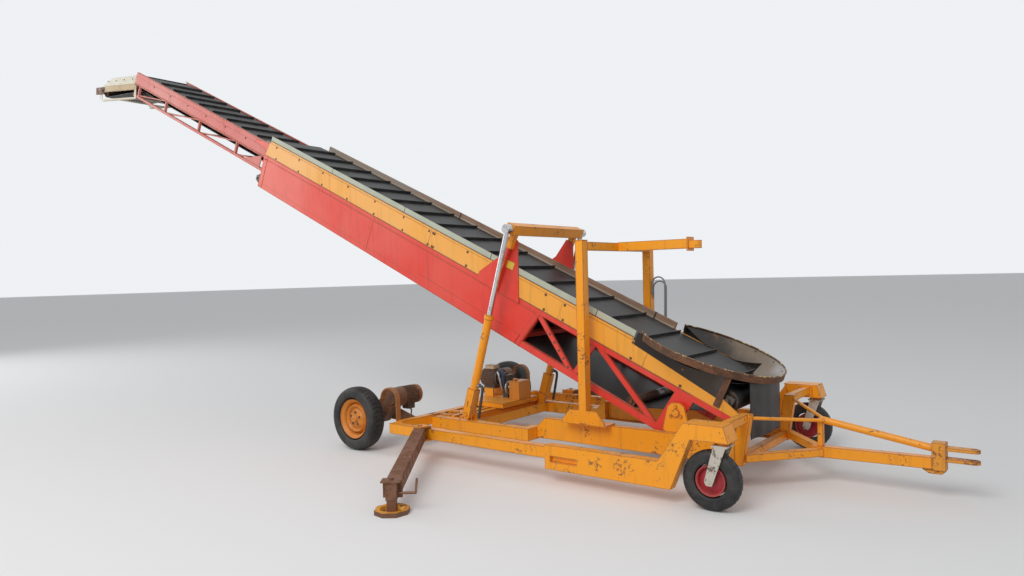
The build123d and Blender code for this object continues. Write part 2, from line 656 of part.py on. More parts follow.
def head_drum_place():
    """Centre of the head drum in the boom's frame."""
    turn = math.radians(HEAD_BEND)
    return (EXT_U1 + HEAD_DRUM_S * math.cos(turn) - HEAD_DRUM_D * math.sin(turn),
            EXT_BEAM_V1 - HEAD_DRUM_S * math.sin(turn) - HEAD_DRUM_D * math.cos(turn))


def head_drum():
    """Head drum with its shaft and the black bearing plates that reach past the hood's end."""
    u, v = head_drum_place()
    half = -EXT_Y0 + HEAD_SHEET
    roller = drum(u, v, HEAD_DRUM_R, -EXT_Y1 - EXT_BELT_INSET + 5, HEAD_SHAFT_R, half + 26)
    plates = []
    for side in (-1, 1):
        plate = head_block(HEAD_DRUM_S - 45, HEAD_DRUM_S + BEARING_REACH, side * half, side * (half + 12),
                           -HEAD_DRUM_D - 55, -HEAD_DRUM_D + 55)
        plates.append(on_head(plate))
    return fuse([roller, *plates])


def extension_belt():
    """Belt of the extension: carrying run, bend, head drum, return run and inner roller."""
    u, v = head_drum_place()
    circles = [
        (EXT_U0, EXT_BELT_V, 0, 1),
        (EXT_U1 - 250, EXT_BELT_V - BEND_R, BEND_R, 1),
        (u, v, HEAD_DRUM_R, 1),
        (EXT_U1 - 150, EXT_RETURN_V - RETURN_ROLLER_R, RETURN_ROLLER_R, -1),
        (EXT_U0 + 70, EXT_RETURN_V - RETURN_ROLLER_R, RETURN_ROLLER_R, -1),
        (EXT_U0 + 560, EXT_RETURN_V - 2 * RETURN_ROLLER_R, 0, -1),
    ]
    half = -EXT_Y1 - EXT_BELT_INSET
    return belt(circles, half, [(0, 150, EXT_U1 - EXT_U0 - 340), (1, 60, HEAD_DRUM_S + 160)])


def extension_rollers():
    """Rollers of the extension: at the bend, before the head and at the inner end."""
    half = -EXT_Y1 - EXT_BELT_INSET
    rollers = []
    for u, v, radius, reach in ((EXT_U1 - 250, EXT_BELT_V - BEND_R, BEND_R, -EXT_Y0 - 4),
                                (EXT_U1 - 150, EXT_RETURN_V - RETURN_ROLLER_R, RETURN_ROLLER_R, -EXT_Y0 - 30),
                                (EXT_U0 + 70, EXT_RETURN_V - RETURN_ROLLER_R, RETURN_ROLLER_R, -EXT_Y0 - 30)):
        rollers.append(drum(u, v, radius, half, 12, reach))
    return rollers


def boom_point(u, v):
    """Place on the machine of a point of the boom's side view."""
    turn = math.radians(BOOM_ANGLE)
    rise = v - PIVOT_RISE
    return (PIVOT_X - u * math.cos(turn) + rise * math.sin(turn),
            PIVOT_Z + u * math.sin(turn) + rise * math.cos(turn))


# Lift cylinders, each built along its own axis from the base pin
LIFT_TOP_X, LIFT_TOP_Z = boom_point(LIFT_TOP_U, LIFT_TOP_V)
LIFT_LEN = math.hypot(LIFT_TOP_X - LIFT_BASE_X, LIFT_TOP_Z - LIFT_BASE_Z)
LIFT_LEAN = math.degrees(math.atan2(LIFT_TOP_X - LIFT_BASE_X, LIFT_TOP_Z - LIFT_BASE_Z))


def on_lift(shape):
    """Carry a shape from the near cylinder's own frame to the machine."""
    return Pos(LIFT_BASE_X, -LIFT_Y, LIFT_BASE_Z) * Rot(0, LIFT_LEAN, 0) * shape


def lift_barrel():
    """Cylinder barrel with its square foot, bored for the base pin and the rod."""
    half = FOOT_W / 2
    foot = block(-half, half, -half, half, 0, FOOT_LEN) + bar_y(0, 0, half, -half, half)
    barrel = Pos(0, 0, (FOOT_LEN + BARREL_LEN) / 2 - 5) * Cylinder(BARREL_R, BARREL_LEN - FOOT_LEN + 10)
    gland = Pos(0, 0, BARREL_LEN - 20) * Cylinder(BARREL_R + 6, 40)
    bore = bar_z(0, 0, ROD_R + FIT, FOOT_LEN + 15, BARREL_LEN + 5)
    pin_bore = bar_y(0, 0, LIFT_PIN_R + FIT, -half - 5, half + 5)
    return foot + barrel + gland - bore - pin_bore


def lift_rod():
    """Chrome rod with the eye and its pin, which ends just short of the bridge."""
    rod = Pos(0, 0, (BARREL_LEN - 200 + LIFT_LEN) / 2) * Cylinder(ROD_R, LIFT_LEN - BARREL_LEN + 200)
    eye = bar_y(0, LIFT_LEN, EYE_R, -EYE_HALF, EYE_HALF)
    stub = bar_y(0, LIFT_LEN, LIFT_PIN_R, 0, EYE_HALF + BRIDGE_STUB)
    return rod + eye + stub


def lift_base():
    """Channel across the chassis with an ear and a pin for each cylinder."""
    x0, x1 = LIFT_BASE_X - 75, LIFT_BASE_X + 75
    inner = INNER_Y - INNER_RAIL_W
    channel = block(x0, x1, -inner, inner, INNER_Z1 - 90, INNER_Z1)
    groove = block(x0 + 12, x1 - 12, -inner, inner, INNER_Z1 - 78, INNER_Z1 + 5)
    web = block(x0, x1, -inner, inner, INNER_Z1 - 90, INNER_Z1 - 78)
    base = channel - groove + web
    y1 = -(LIFT_Y - FOOT_W / 2 - SEAT)
    ear = slab_xz([(x0 + 5, INNER_Z1 - 60), (x1 - 5, INNER_Z1 - 60), (LIFT_BASE_X + 45, LIFT_BASE_Z + 20),
                   (LIFT_BASE_X + 20, LIFT_BASE_Z + 42), (LIFT_BASE_X - 20, LIFT_BASE_Z + 42),
                   (LIFT_BASE_X - 45, LIFT_BASE_Z + 20)], y1, y1 + 20)
    pin = bar_y(LIFT_BASE_X, LIFT_BASE_Z, LIFT_PIN_R, -LIFT_Y - FOOT_W / 2 - 8, y1 + 20)
    return fuse([base, *both(ear), *both(pin)])


# Chassis
def side_frame():
    """Near side frame: long rail, deep sill with its pocket, slanted post and wheel arch."""
    y0, y1 = -SIDE_Y, -SIDE_Y + RAIL_W
    rail = block(RAIL_X0, SILL_X0 + 5, y0, y1, RAIL_Z0, RAIL_Z0 + RAIL_H)
    inside = block(RAIL_X0 + 100, SILL_X0 - 5, y0 + TUBE_WALL, y1 - TUBE_WALL, RAIL_Z0 + TUBE_WALL,
                   RAIL_Z0 + RAIL_H - TUBE_WALL)
    outline = [(SILL_X0, SILL_Z0), (SILL_X1, SILL_Z0), (ARCH_X0 + 50, ARCH_Z0), (ARCH_X1 - 28, ARCH_Z0),
               (ARCH_X1, ARCH_Z0), (ARCH_X1 - 36, ARCH_Z1), (ARCH_X0, ARCH_Z1),
               (SILL_X1 - 92, SILL_Z1), (SILL_X0, SILL_Z1)]
    sill = slab_xz(outline, y0, y1)
    sill_inside = block(SILL_X0 + 8, SILL_X1 - 100, y0 + 30, y1 - TUBE_WALL, SILL_Z0 + TUBE_WALL,
                        SILL_Z1 - TUBE_WALL)
    arch = slab_xz([(ARCH_X0 + 50, ARCH_Z0), (ARCH_X1, ARCH_Z0), (ARCH_X1 - 36, ARCH_Z1),
                    (ARCH_X0, ARCH_Z1)], y0, y0 + ARCH_W)
    pocket = block(SILL_X0 + 50, SILL_X0 + 290, y0 - 5, y0 + 25, SILL_Z0 + 60, SILL_Z0 + 105)
    socket = bar_z(CASTOR_X, -CASTOR_Y, 42, CASTOR_SOCKET_Z, ARCH_Z0 + 5)
    ears = [slab_xy([(SWING_X - 70, y0 + 10), (SWING_X + 70, y0 + 10), (SWING_X + 50, -SWING_Y - 30),
                     (SWING_X + 20, -SWING_Y - 48), (SWING_X - 20, -SWING_Y - 48),
                     (SWING_X - 50, -SWING_Y - 30)], z0, z0 + 12)
            for z0 in (ARM_Z0 - 14, ARM_Z0 + ARM_H + 2)]
    web = block(SWING_X - 70, SWING_X + 70, y0, y0 + 10, ARM_Z0 - 14, ARM_Z0 + ARM_H + 14)
    pin = bar_z(SWING_X, -SWING_Y, 18, ARM_Z0 - 14, ARM_Z0 + ARM_H + 26)
    return fuse([rail - inside, sill - sill_inside, arch, socket, *ears, web, pin]) - pocket


def inner_rail():
    """Near inner rail, its jog, and the side channel that carries the boom's pivot bracket."""
    y0, y1 = -INNER_Y, -INNER_Y + INNER_RAIL_W
    c0, c1 = -CHANNEL_Y, -CHANNEL_Y + CHANNEL_W
    rail = block(RAIL_X0 + 80, INNER_X1, y0, y1, INNER_Z0, INNER_Z1)
    rail = rail - block(RAIL_X0 + 90, INNER_X1 - INNER_RAIL_W - 10, y0 + TUBE_WALL, y1 - TUBE_WALL,
                        INNER_Z0 + TUBE_WALL, INNER_Z1 - TUBE_WALL)
    jog = block(INNER_X1 - INNER_RAIL_W, INNER_X1, y0, c1, INNER_Z0, INNER_Z1)
    channel = slab_xz([(CHANNEL_X0, CHANNEL_Z0), (CHANNEL_X0, INNER_Z1), (CHANNEL_X0 + 90, CHANNEL_Z1),
                       (CHANNEL_X1, CHANNEL_Z1), (CHANNEL_X1, CHANNEL_Z0)], c0, c1)
    channel = channel - block(CHANNEL_X0 + 100, CHANNEL_X1 - 10, c0 + TUBE_WALL, c1 + 5,
                              CHANNEL_Z0 + TUBE_WALL, CHANNEL_Z1 - TUBE_WALL)
    plate = slab_xz([(PIVOT_X - 120, CHANNEL_Z1 - 5), (PIVOT_X + 120, CHANNEL_Z1 - 5),
                     (PIVOT_X + 70, PIVOT_Z + 45), (PIVOT_X + 35, PIVOT_Z + 76),
                     (PIVOT_X - 35, PIVOT_Z + 76), (PIVOT_X - 70, PIVOT_Z + 45)], c0 + 35, c0 + 55)
    boss = bar_y(PIVOT_X, PIVOT_Z, 55, c0 + 50, BOOM_Y0 - SEAT)
    pin = bar_y(PIVOT_X, PIVOT_Z, PIN_R, c0 + 20, BOOM_Y0 + 40)
    bolts = [bar_y(PIVOT_X + 48 * math.cos(a), PIVOT_Z + 48 * math.sin(a), 11, c0 + 20, c0 + 40)
             for a in (math.radians(90), math.radians(210), math.radians(330))]
    return fuse([rail, jog, channel, plate, boss, pin, *bolts])


def rear_beam():
    """Rear cross beam between the side rails, with the drilled plate on its top."""
    inner = SIDE_Y - RAIL_W
    beam = block(RAIL_X0, RAIL_X0 + 80, -inner, inner, RAIL_Z0 + 10, RAIL_Z0 + 100)
    inside = block(RAIL_X0 + TUBE_WALL, RAIL_X0 + 80 - TUBE_WALL, -inner + 10, inner - 10,
                   RAIL_Z0 + 10 + TUBE_WALL, RAIL_Z0 + 100 - TUBE_WALL)
    plate = block(RAIL_X0 + 5, RAIL_X0 + 230, -INNER_Y + 100, -INNER_Y + 330, INNER_Z1, INNER_Z1 + 12)
    stay = block(RAIL_X0 + 80, RAIL_X0 + 230, -INNER_Y + INNER_RAIL_W, INNER_Y - INNER_RAIL_W,
                 INNER_Z1 - 60, INNER_Z1)
    under = block(RAIL_X0 + 86, RAIL_X0 + 224, -INNER_Y + INNER_RAIL_W + 10, INNER_Y - INNER_RAIL_W - 10,
                  INNER_Z1 - 65, INNER_Z1 - 6)
    hole = bar_z(RAIL_X0 + 150, -INNER_Y + 215, 75, INNER_Z1 - 70, INNER_Z1 + 20)
    return fuse([beam - inside, stay - under, plate]) - hole


def drive_unit():
    """Near drive: slanted gear case from the axle up to a short motor, its plate and arched stay."""
    motor_x, motor_z = REAR_X + MOTOR_AHEAD, REAR_R + MOTOR_RISE
    mid = (CASE_Y0 + CASE_Y1) / 2
    case = fuse([bar_y(REAR_X, REAR_R, 88, CASE_Y0, CASE_Y1), bar_y(motor_x, motor_z, 92, CASE_Y0, CASE_Y1),
                 beam_between((REAR_X, mid, REAR_R), (motor_x, mid, motor_z), CASE_Y1 - CASE_Y0, 165),
                 bar_y(motor_x, motor_z, 70, CASE_Y0 - 14, CASE_Y0)])
    seat_y = -REAR_Y + HUB_INSET + SEAT
    shaft = bar_y(REAR_X, REAR_R, 32, seat_y, CASE_Y0 + 10)
    flange = bar_y(REAR_X, REAR_R, 60, seat_y, seat_y + 14)
    motor = fuse([bar_y(motor_x, motor_z, DRIVE_MOTOR_R, CASE_Y1 - 5, CASE_Y1 + DRIVE_MOTOR_LEN),
                  bar_y(motor_x, motor_z, DRIVE_MOTOR_R + 10, CASE_Y1 - 5, CASE_Y1 + 14),
                  bar_y(motor_x, motor_z, DRIVE_MOTOR_R + 6, CASE_Y1 + DRIVE_MOTOR_LEN - 35,
                        CASE_Y1 + DRIVE_MOTOR_LEN + 8)])
    box = block(motor_x - 30, motor_x + 50, CASE_Y1 + 60, CASE_Y1 + 150, motor_z - DRIVE_MOTOR_R - 45,
                motor_z - DRIVE_MOTOR_R + 25)
    plate = slab_xz([(REAR_X + 60, REAR_R - 60), (RAIL_X0, RAIL_Z0 + 20), (RAIL_X0, RAIL_Z0 + RAIL_H),
                     (REAR_X + 140, REAR_R + 60)], CASE_Y1, CASE_Y1 + 12)
    bend_x, bend_z = RAIL_X0 - STAY_R, STAY_TOP - STAY_R
    mid = (STAY_Y0 + STAY_Y1) / 2
    arch = bar_y(bend_x, bend_z, STAY_R, STAY_Y0, STAY_Y1) - bar_y(bend_x, bend_z, STAY_R - 14, STAY_Y0 - 5,
                                                                   STAY_Y1 + 5)
    arch = arch - block(bend_x - 200, bend_x + 200, STAY_Y0 - 5, STAY_Y1 + 5, 0, bend_z - 5)
    leg = block(RAIL_X0 - 14, RAIL_X0, STAY_Y0, STAY_Y1, RAIL_Z0 + 15, bend_z)
    root = beam_between((bend_x - STAY_R + 7, mid, bend_z + 5), (REAR_X, mid, REAR_R), 50, 14)
    return fuse([case, shaft, flange, motor, box, plate, arch, leg, root])


def front_cross():
    """Front closing tube, slanted corner posts and the ties out to the wheel arches."""
    c0, c1 = -CHANNEL_Y, -CHANNEL_Y + CHANNEL_W
    x = CHANNEL_X1
    tube = block(x, x + 60, c0, -c0, CHANNEL_Z0 + 10, CHANNEL_Z0 + 70)
    post = slab_xz([(x, CHANNEL_Z0), (x + 60, CHANNEL_Z0), (x + 125, ARCH_Z1 - 20), (x + 40, ARCH_Z1 - 20),
                    (x, CHANNEL_Z1)], c0, c1)
    tie = block(x + 40, x + 100, -SIDE_Y + ARCH_W, c0, ARCH_Z0 + 30, ARCH_Z0 + 90)
    return fuse([tube, *both(post), *both(tie)])


def feed_gantry():
    """Two posts with foot gussets, the cross beam and the arm that reaches over the pan."""
    half = POST_W / 2
    foot_z = CHANNEL_Z1
    wall = TUBE_WALL
    post = block(POST_X - half, POST_X + half, -POST_Y - half, -POST_Y + half, foot_z + 12, POST_TOP)
    post = post - block(POST_X - half + wall, POST_X + half - wall, -POST_Y - half + wall, -POST_Y + half - wall,
                        foot_z + 24, POST_TOP - 5)
    base = block(POST_X - 200, POST_X + 220, -POST_Y - half, -CHANNEL_Y + CHANNEL_W, foot_z, foot_z + 12)
    gussets = [slab_xz([(POST_X + s * half, foot_z + 12), (POST_X + s * (half + 165), foot_z + 12),
                        (POST_X + s * (half + 165), foot_z + 30), (POST_X + s * (half + 95), foot_z + 120),
                        (POST_X + s * half, foot_z + 120)], -POST_Y - half, -POST_Y - half + 12)
               for s in (-1, 1)]
    cap = block(POST_X - half - 3, POST_X + half + 3, -POST_Y - half - 3, -POST_Y + half, POST_TOP,
                POST_TOP + 5)
    beam = block(POST_X - 35, POST_X + 35, -POST_Y + half, POST_Y - half, POST_TOP - 80, POST_TOP - 10)
    beam = beam - block(POST_X - 30, POST_X + 30, -POST_Y + half + 10, POST_Y - half - 10, POST_TOP - 75,
                        POST_TOP - 15)
    arm = block(POST_X + 35, POST_X + ARM_REACH, -40, 40, POST_TOP - 85, POST_TOP - 5)
    arm = arm - block(POST_X + 40, POST_X + ARM_REACH - 5, -35, 35, POST_TOP - 80, POST_TOP - 10)
    flange = block(POST_X + ARM_REACH, POST_X + ARM_REACH + 12, -60, 60, POST_TOP - 105, POST_TOP + 10)
    lug = block(POST_X + ARM_REACH + 12, POST_X + ARM_REACH + 60, -45, 45, POST_TOP - 85, POST_TOP - 20)
    eye = bar_z(POST_X + ARM_REACH + 60, 0, 45, POST_TOP - 85, POST_TOP - 20)
    bore = bar_z(POST_X + ARM_REACH + 60, 0, ARM_BORE_R, POST_TOP - 90, POST_TOP)
    side = fuse([post, base, *gussets, cap])
    return [side, far_side(side)], beam, fuse([arm, flange, lug, eye]) - bore


def hose(side_y, top_z):
    """Hydraulic hose that leaves the far post, bends over and hangs down to the post's foot."""
    face = POST_X + POST_W / 2 + SEAT
    up_x = face + HOSE_R
    down_x = up_x + 2 * HOSE_LOOP_R
    corner = 0.586 * HOSE_LOOP_R
    route = [(up_x, side_y, top_z - 160), (up_x, side_y, top_z - corner), (up_x + corner, side_y, top_z),
             (down_x - corner, side_y, top_z), (down_x, side_y, top_z - corner),
             (down_x - 8, side_y, top_z - 420), (face + 110, side_y, CHANNEL_Z1 + 12 + SEAT)]
    corners = [Vector(*point) for point in route]
    runs = [b - a for a, b in zip(corners, corners[1:])]
    radii = []
    for before, after in zip(runs, runs[1:]):
        half_turn = math.radians(before.get_angle(after)) / 2
        radii.append(0.45 * min(before.length, after.length) / math.tan(half_turn))
    bends = [min(radius, HOSE_BEND_MAX) for radius in radii]
    path = FilletPolyline(*corners, radius=bends)
    print("hose bend radii", [round(radius, 1) for radius in bends])
    return sweep(Plane(origin=path @ 0, z_dir=path % 0) * Circle(HOSE_R), path=path)


def drawbar():
    """Fixed drawbar: lower A-frame, upper struts, and the two beams that meet at the hitch."""
    z_low, z_end = 235.0, 250.0
    legs = [beam_between((DRAW_FOOT_X - 30, s * 500, z_low), (DRAW_APEX_X + 30, s * 25, z_low), 55, 65,
                         side=(0, 0, 1)) for s in (-1, 1)]
    lower = beam_between((DRAW_APEX_X - 40, 0, z_low), (DRAW_END_X, 0, z_end), 70, 80)
    upper = bar_between((DRAW_APEX_X + 20, 0, 476), (DRAW_END_X, 0, 350), 26)
    struts = [bar_between((CHANNEL_X1 + 95, s * 500, ARCH_Z0 + 60), (DRAW_APEX_X + 60, s * 8, 470), STRUT_R)
              for s in (-1, 1)]
    prop = block(DRAW_APEX_X + 5, DRAW_APEX_X + 45, -20, 20, z_low + 20, 480)
    beyond = block(DRAW_END_X, DRAW_END_X + 200, -100, 100, 100, 600)
    return fuse([*legs, lower, upper, *struts, prop]) - front_cross() - beyond


def tow_hitch():
    """Hitch block with two tongues, bored for the tow pin, and the skid under it."""
    x = DRAW_END_X
    head = block(x, x + 85, -45, 45, 205, 395)
    tongues = []
    for z in (345, 270):
        tongue = block(x + 80, HITCH_TIP_X - 45, -40, 40, z, z + 22) + bar_z(HITCH_TIP_X - 45, 0, 40, z, z + 22)
        tongues.append(tongue)
    skid = slab_xz([(x - 60, 205), (x + 85, 205), (x + 60, 180), (x - 20, 180)], -35, 35)
    bore = bar_z(HITCH_TIP_X - 45, 0, TOW_BORE_R, 200, 400)
    return fuse([head, *tongues, skid]) - bore


# Wheels
def wheel_pair(x, y, z, outer_r, width, rim_r, rim_face, hub_in, bore_r=0.0):
    """Tyre and rim of a near wheel; rim_face is how far the disc lies inside the outer face."""
    half = width / 2
    wall = 0.30 * (outer_r - rim_r)
    tyre = [(rim_r + SEAT, -half * 0.80), (rim_r + wall, -half), (outer_r - wall, -half),
            (outer_r, -half * 0.66), (outer_r, half * 0.66), (outer_r - wall, half),
            (rim_r + wall, half), (rim_r + SEAT, half * 0.80)]
    face = -half + rim_face
    hub_r = rim_r * 0.36
    rim = [(0, face - 12), (hub_r, face - 12), (hub_r, face + 4), (rim_r * 0.80, face + 14),
           (rim_r * 0.88, -half * 0.72), (rim_r, -half * 0.80), (rim_r, half * 0.80),
           (rim_r * 0.88, half * 0.72),
           (rim_r * 0.84, face + 26), (hub_r, face + 18), (hub_r, hub_in), (0, hub_in)]
    rim_solid = lathe_y(rim, x, y, z)
    if bore_r:
        rim_solid = rim_solid - bar_y(x, z, bore_r, y - width, y + width)
    return lathe_y(tyre, x, y, z), rim_solid


def castor_fork():
    """Castor crown, two leaning legs and the wheel's axle bolt."""
    axle_x, half = CASTOR_X - CASTOR_TRAIL, CASTOR_W / 2 + 8
    top = CASTOR_SOCKET_Z - SEAT
    crown = block(CASTOR_X - 60, CASTOR_X + 50, -CASTOR_Y - half - 8, -CASTOR_Y + half + 8, top - 12, top)
    leg = slab_xz([(CASTOR_X - 45, top - 6), (CASTOR_X + 40, top - 6), (axle_x + 32, CASTOR_R),
                   (axle_x + 20, CASTOR_R - 28), (axle_x - 20, CASTOR_R - 28), (axle_x - 32, CASTOR_R)],
                  -CASTOR_Y - half - 8, -CASTOR_Y - half)
    inner = Pos(0, 2 * half + 8, 0) * leg
    bolt = bar_y(axle_x, CASTOR_R, CASTOR_AXLE_R, -CASTOR_Y - half - 14, -CASTOR_Y + half + 14)
    return fuse([crown, leg, inner, bolt])


# Outriggers
ARM_TURN = math.radians(ARM_AIM)


def on_arm(shape):
    """Carry a shape from the arm's frame, X along the arm from its hinge, to the machine."""
    return Pos(SWING_X, -SWING_Y, 0) * Rot(0, 0, ARM_AIM) * shape


def outrigger_arm():
    """Square tube arm that slopes down from its hinge eye, with end plate, jack tube and crank."""
    half = ARM_W / 2
    z1 = ARM_Z0 + ARM_H
    mid = ARM_Z0 + ARM_H / 2
    end_z1 = z1 - ARM_DROP
    slope = ARM_DROP / (ARM_LEN - ARM_KNEE)
    eye = block(0, ARM_KNEE + 6, -half, half, ARM_Z0, z1) + bar_z(0, 0, half, ARM_Z0, z1)
    tube = beam_between((ARM_KNEE, 0, mid), (ARM_LEN + 2, 0, mid - ARM_DROP), ARM_W, ARM_H)
    hollow = beam_between((ARM_KNEE + 12, 0, mid - 12 * slope), (ARM_LEN - 5, 0, mid - ARM_DROP + 5 * slope),
                          ARM_W - 2 * TUBE_WALL, ARM_H - 2 * TUBE_WALL)
    slot_x = ARM_LEN * 0.55
    slot_z = mid - slope * (slot_x - ARM_KNEE)
    slot = block(slot_x, slot_x + 60, -half - 2, -half + 10, slot_z - 17, slot_z + 23)
    plate = block(ARM_LEN, ARM_LEN + 10, -half - 18, half + 18, end_z1 - ARM_H - 12, end_z1 + 8)
    jack_x = ARM_LEN + 10 + JACK_W / 2
    outer = block(jack_x - JACK_W / 2, jack_x + JACK_W / 2, -JACK_W / 2, JACK_W / 2, JACK_Z0, end_z1 + 8)
    side = JACK_W / 2 - JACK_WALL
    bore = block(jack_x - side, jack_x + side, -side, side, JACK_Z0 - 5, end_z1 - 4)
    cap = block(ARM_LEN, jack_x + JACK_W / 2 + 14, -half - 18, half + 18, end_z1 + 8, end_z1 + 18)
    head = bar_z(jack_x, 0, 16, end_z1 + 10, end_z1 + 34)
    crank_z = JACK_Z0 + 42
    shaft = bar_between((jack_x, JACK_W / 2, crank_z), (jack_x, 170, crank_z), 9)
    handle = bar_between((jack_x, 165, crank_z), (jack_x - 20, 172, crank_z + 95), 8)
    hinge_bore = bar_z(0, 0, 18 + FIT, ARM_Z0 - 5, z1 + 5)
    body = fuse([eye, tube - hollow - slot, plate, outer - bore, cap, head])
    crank = shaft + handle
    return on_arm(body - hinge_bore + crank)


def jack_leg():
    """Inner leg of the jack with its dished octagonal pad."""
    jack_x = ARM_LEN + 10 + JACK_W / 2
    side = JACK_W / 2 - JACK_WALL - LEG_GAP
    leg = block(jack_x - side, jack_x + side, -side, side, 10, JACK_LEG_TOP)
    ring = [(jack_x + PAD_R * math.cos(a), PAD_R * math.sin(a))
            for a in (math.radians(22.5 + 45 * k) for k in range(8))]
    pad = slab_xy(ring, 0, PAD_H)
    dish = Pos(jack_x, 0, PAD_H) * Cone(PAD_R * 0.5, PAD_R * 0.86, 2 * (PAD_H - 12))
    return on_arm(leg + (pad - dish))


# Power pack on its deck
def pump_deck():
    """Folded tray on two bearers between the inner rails, with the motor's stand."""
    inner = INNER_Y - INNER_RAIL_W
    z0 = INNER_Z1 + 14
    bearers = [block(x, x + 50, -inner, inner, INNER_Z1 - 60, z0) for x in (DECK_X0 + 260, DECK_X1 - 130)]
    tray = block(DECK_X0, DECK_X1, DECK_Y0, DECK_Y1, z0, DECK_Z)
    under = block(DECK_X0 + 4, DECK_X1 - 4, DECK_Y0 + 4, DECK_Y1 - 4, z0 - 1, DECK_Z - 6)
    stand = block(MOTOR_X - 60, MOTOR_X + 60, PACK_Y - 80, PACK_Y + 80, DECK_Z, DECK_Z + STAND_H)
    open_end = block(MOTOR_X - 70, MOTOR_X + 70, PACK_Y - 70, PACK_Y + 70, DECK_Z - 1, DECK_Z + STAND_H - 8)
    return fuse([*bearers, tray - under, stand - open_end])


def power_unit():
    """Electric motor on its foot, pump and valve block in line along X."""
    z = DECK_Z + STAND_H + 105
    motor = Pos(MOTOR_X, PACK_Y, z) * Rot(0, 90, 0) * Cylinder(92, 210)
    nose = Pos(MOTOR_X + 140, PACK_Y, z) * Rot(0, 90, 0) * Cylinder(58, 80)
    foot = block(MOTOR_X - 60, MOTOR_X + 60, PACK_Y - 60, PACK_Y + 60, DECK_Z + STAND_H, z)
    valve = block(MOTOR_X + 170, MOTOR_X + 235, PACK_Y - 55, PACK_Y + 55, DECK_Z, z + 40)
    return fuse([motor, nose, foot, valve])


def oil_tank():
    """Oil tank beside the pump, with its filler cap."""
    x0 = DECK_X1 - TANK_L
    tank = block(x0, DECK_X1, PACK_Y - 95, PACK_Y + 95, DECK_Z, DECK_Z + 185)
    return tank + bar_z(x0 + 40, PACK_Y - 40, 25, DECK_Z + 180, DECK_Z + 205)


def save(node, shape):
    """Write one node as a STEP file, in the frame of the finished part."""
    pieces = shape if isinstance(shape, (list, tuple)) else [shape]
    solids = [solid for piece in pieces for solid in piece.solids()]
    solids = [Pos(FRAME_X, 0, 0) * solid for solid in solids]
    whole = solids[0] if len(solids) == 1 else Compound(children=solids)
    whole.label = node
    export_step(whole, f"parts/{node}.step")


def save_pair(node, shape):
    """Write a near piece and its mirror image as two nodes."""
    save(f"{node}_near", shape)
    save(f"{node}_far", far_side(shape))


os.makedirs("parts", exist_ok=True)

save_pair("side_frame", side_frame())
save_pair("inner_rail", inner_rail())
save("rear_beam", rear_beam())
save_pair("drive_unit", drive_unit())
save("front_cross", front_cross())
save("lift_base", lift_base())
gantry_posts, gantry_beam, gantry_arm = feed_gantry()
save("gantry_posts", gantry_posts)
save("gantry_beam", gantry_beam)
save("gantry_arm", gantry_arm)
# hoses: name, distance from the middle plane, height of the bend's top
for name, side_y, top_z in (("hose_long", 568.0, 1560.0), ("hose_short", 594.0, 1520.0)):
    save(name, hose(side_y, top_z))
save("drawbar", drawbar())
save("tow_hitch", tow_hitch())
save("pump_deck", pump_deck())
save("power_unit", power_unit())
save("oil_tank", oil_tank())

rear_tyre, rear_rim = wheel_pair(REAR_X, -REAR_Y, REAR_R, REAR_R, REAR_W, REAR_RIM_R, 45,
                                 HUB_INSET)
save_pair("rear_tyre", rear_tyre)
save_pair("rear_rim", rear_rim)
castor_tyre, castor_rim = wheel_pair(CASTOR_X - CASTOR_TRAIL, -CASTOR_Y, CASTOR_R, CASTOR_R, CASTOR_W,
                                     CASTOR_RIM_R, 30, CASTOR_W / 2 + 2, CASTOR_AXLE_R + FIT)
save_pair("castor_tyre", castor_tyre)
save_pair("castor_rim", castor_rim)
save_pair("castor_fork", castor_fork())

save_pair("outrigger_arm", outrigger_arm())
save_pair("jack_leg", jack_leg())

save_pair("boom_side", on_boom(boom_side()))
save("boom_ties", [on_boom(piece) for piece in boom_ties()])
save("slider_bed", on_boom(slider_bed()))
save_pair("side_panel", on_boom(side_panel()))
near_strip = boom_block(TAIL_U + STRIP_INSET, BOX_U1 - 80, BOOM_Y0 - PANEL_T, BOOM_Y0 - PANEL_T + STRIP_T, PANEL_V1,
                        PANEL_V1 + STRIP_H)
far_board = boom_block(TAIL_U + BOARD_INSET, BOX_U1 - 80, BOOM_HALF_W + PANEL_T - BOARD_T, BOOM_HALF_W + PANEL_T,
                       PANEL_V1, PANEL_V1 + BOARD_H)
save("side_strip", on_boom(near_strip))
save("side_board", on_boom(far_board))
save("main_belt", on_boom(main_belt()))
save("tail_drum", [on_boom(piece) for piece in tail_drum()])
save("end_roller", on_boom(end_roller()))
save("lift_bridge", on_boom(lift_bridge()))
save("bridge_gussets", [on_boom(piece) for piece in both(bridge_gusset())])
save("hopper_pan", hopper_pan())
save("hopper_brackets", hopper_brackets())
save("tail_curtain", tail_curtain())

save_pair("extension_side", on_boom(extension_side()))
save("extension_ties", [on_boom(piece) for piece in extension_ties()])
save("extension_belt", on_boom(extension_belt()))
save("extension_rollers", [on_boom(piece) for piece in extension_rollers()])
save("head_hood", on_boom(head_hood()))
save("head_drum", on_boom(head_drum()))

save_pair("lift_barrel", on_lift(lift_barrel()))
save_pair("lift_rod", on_lift(lift_rod()))
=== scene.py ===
import math

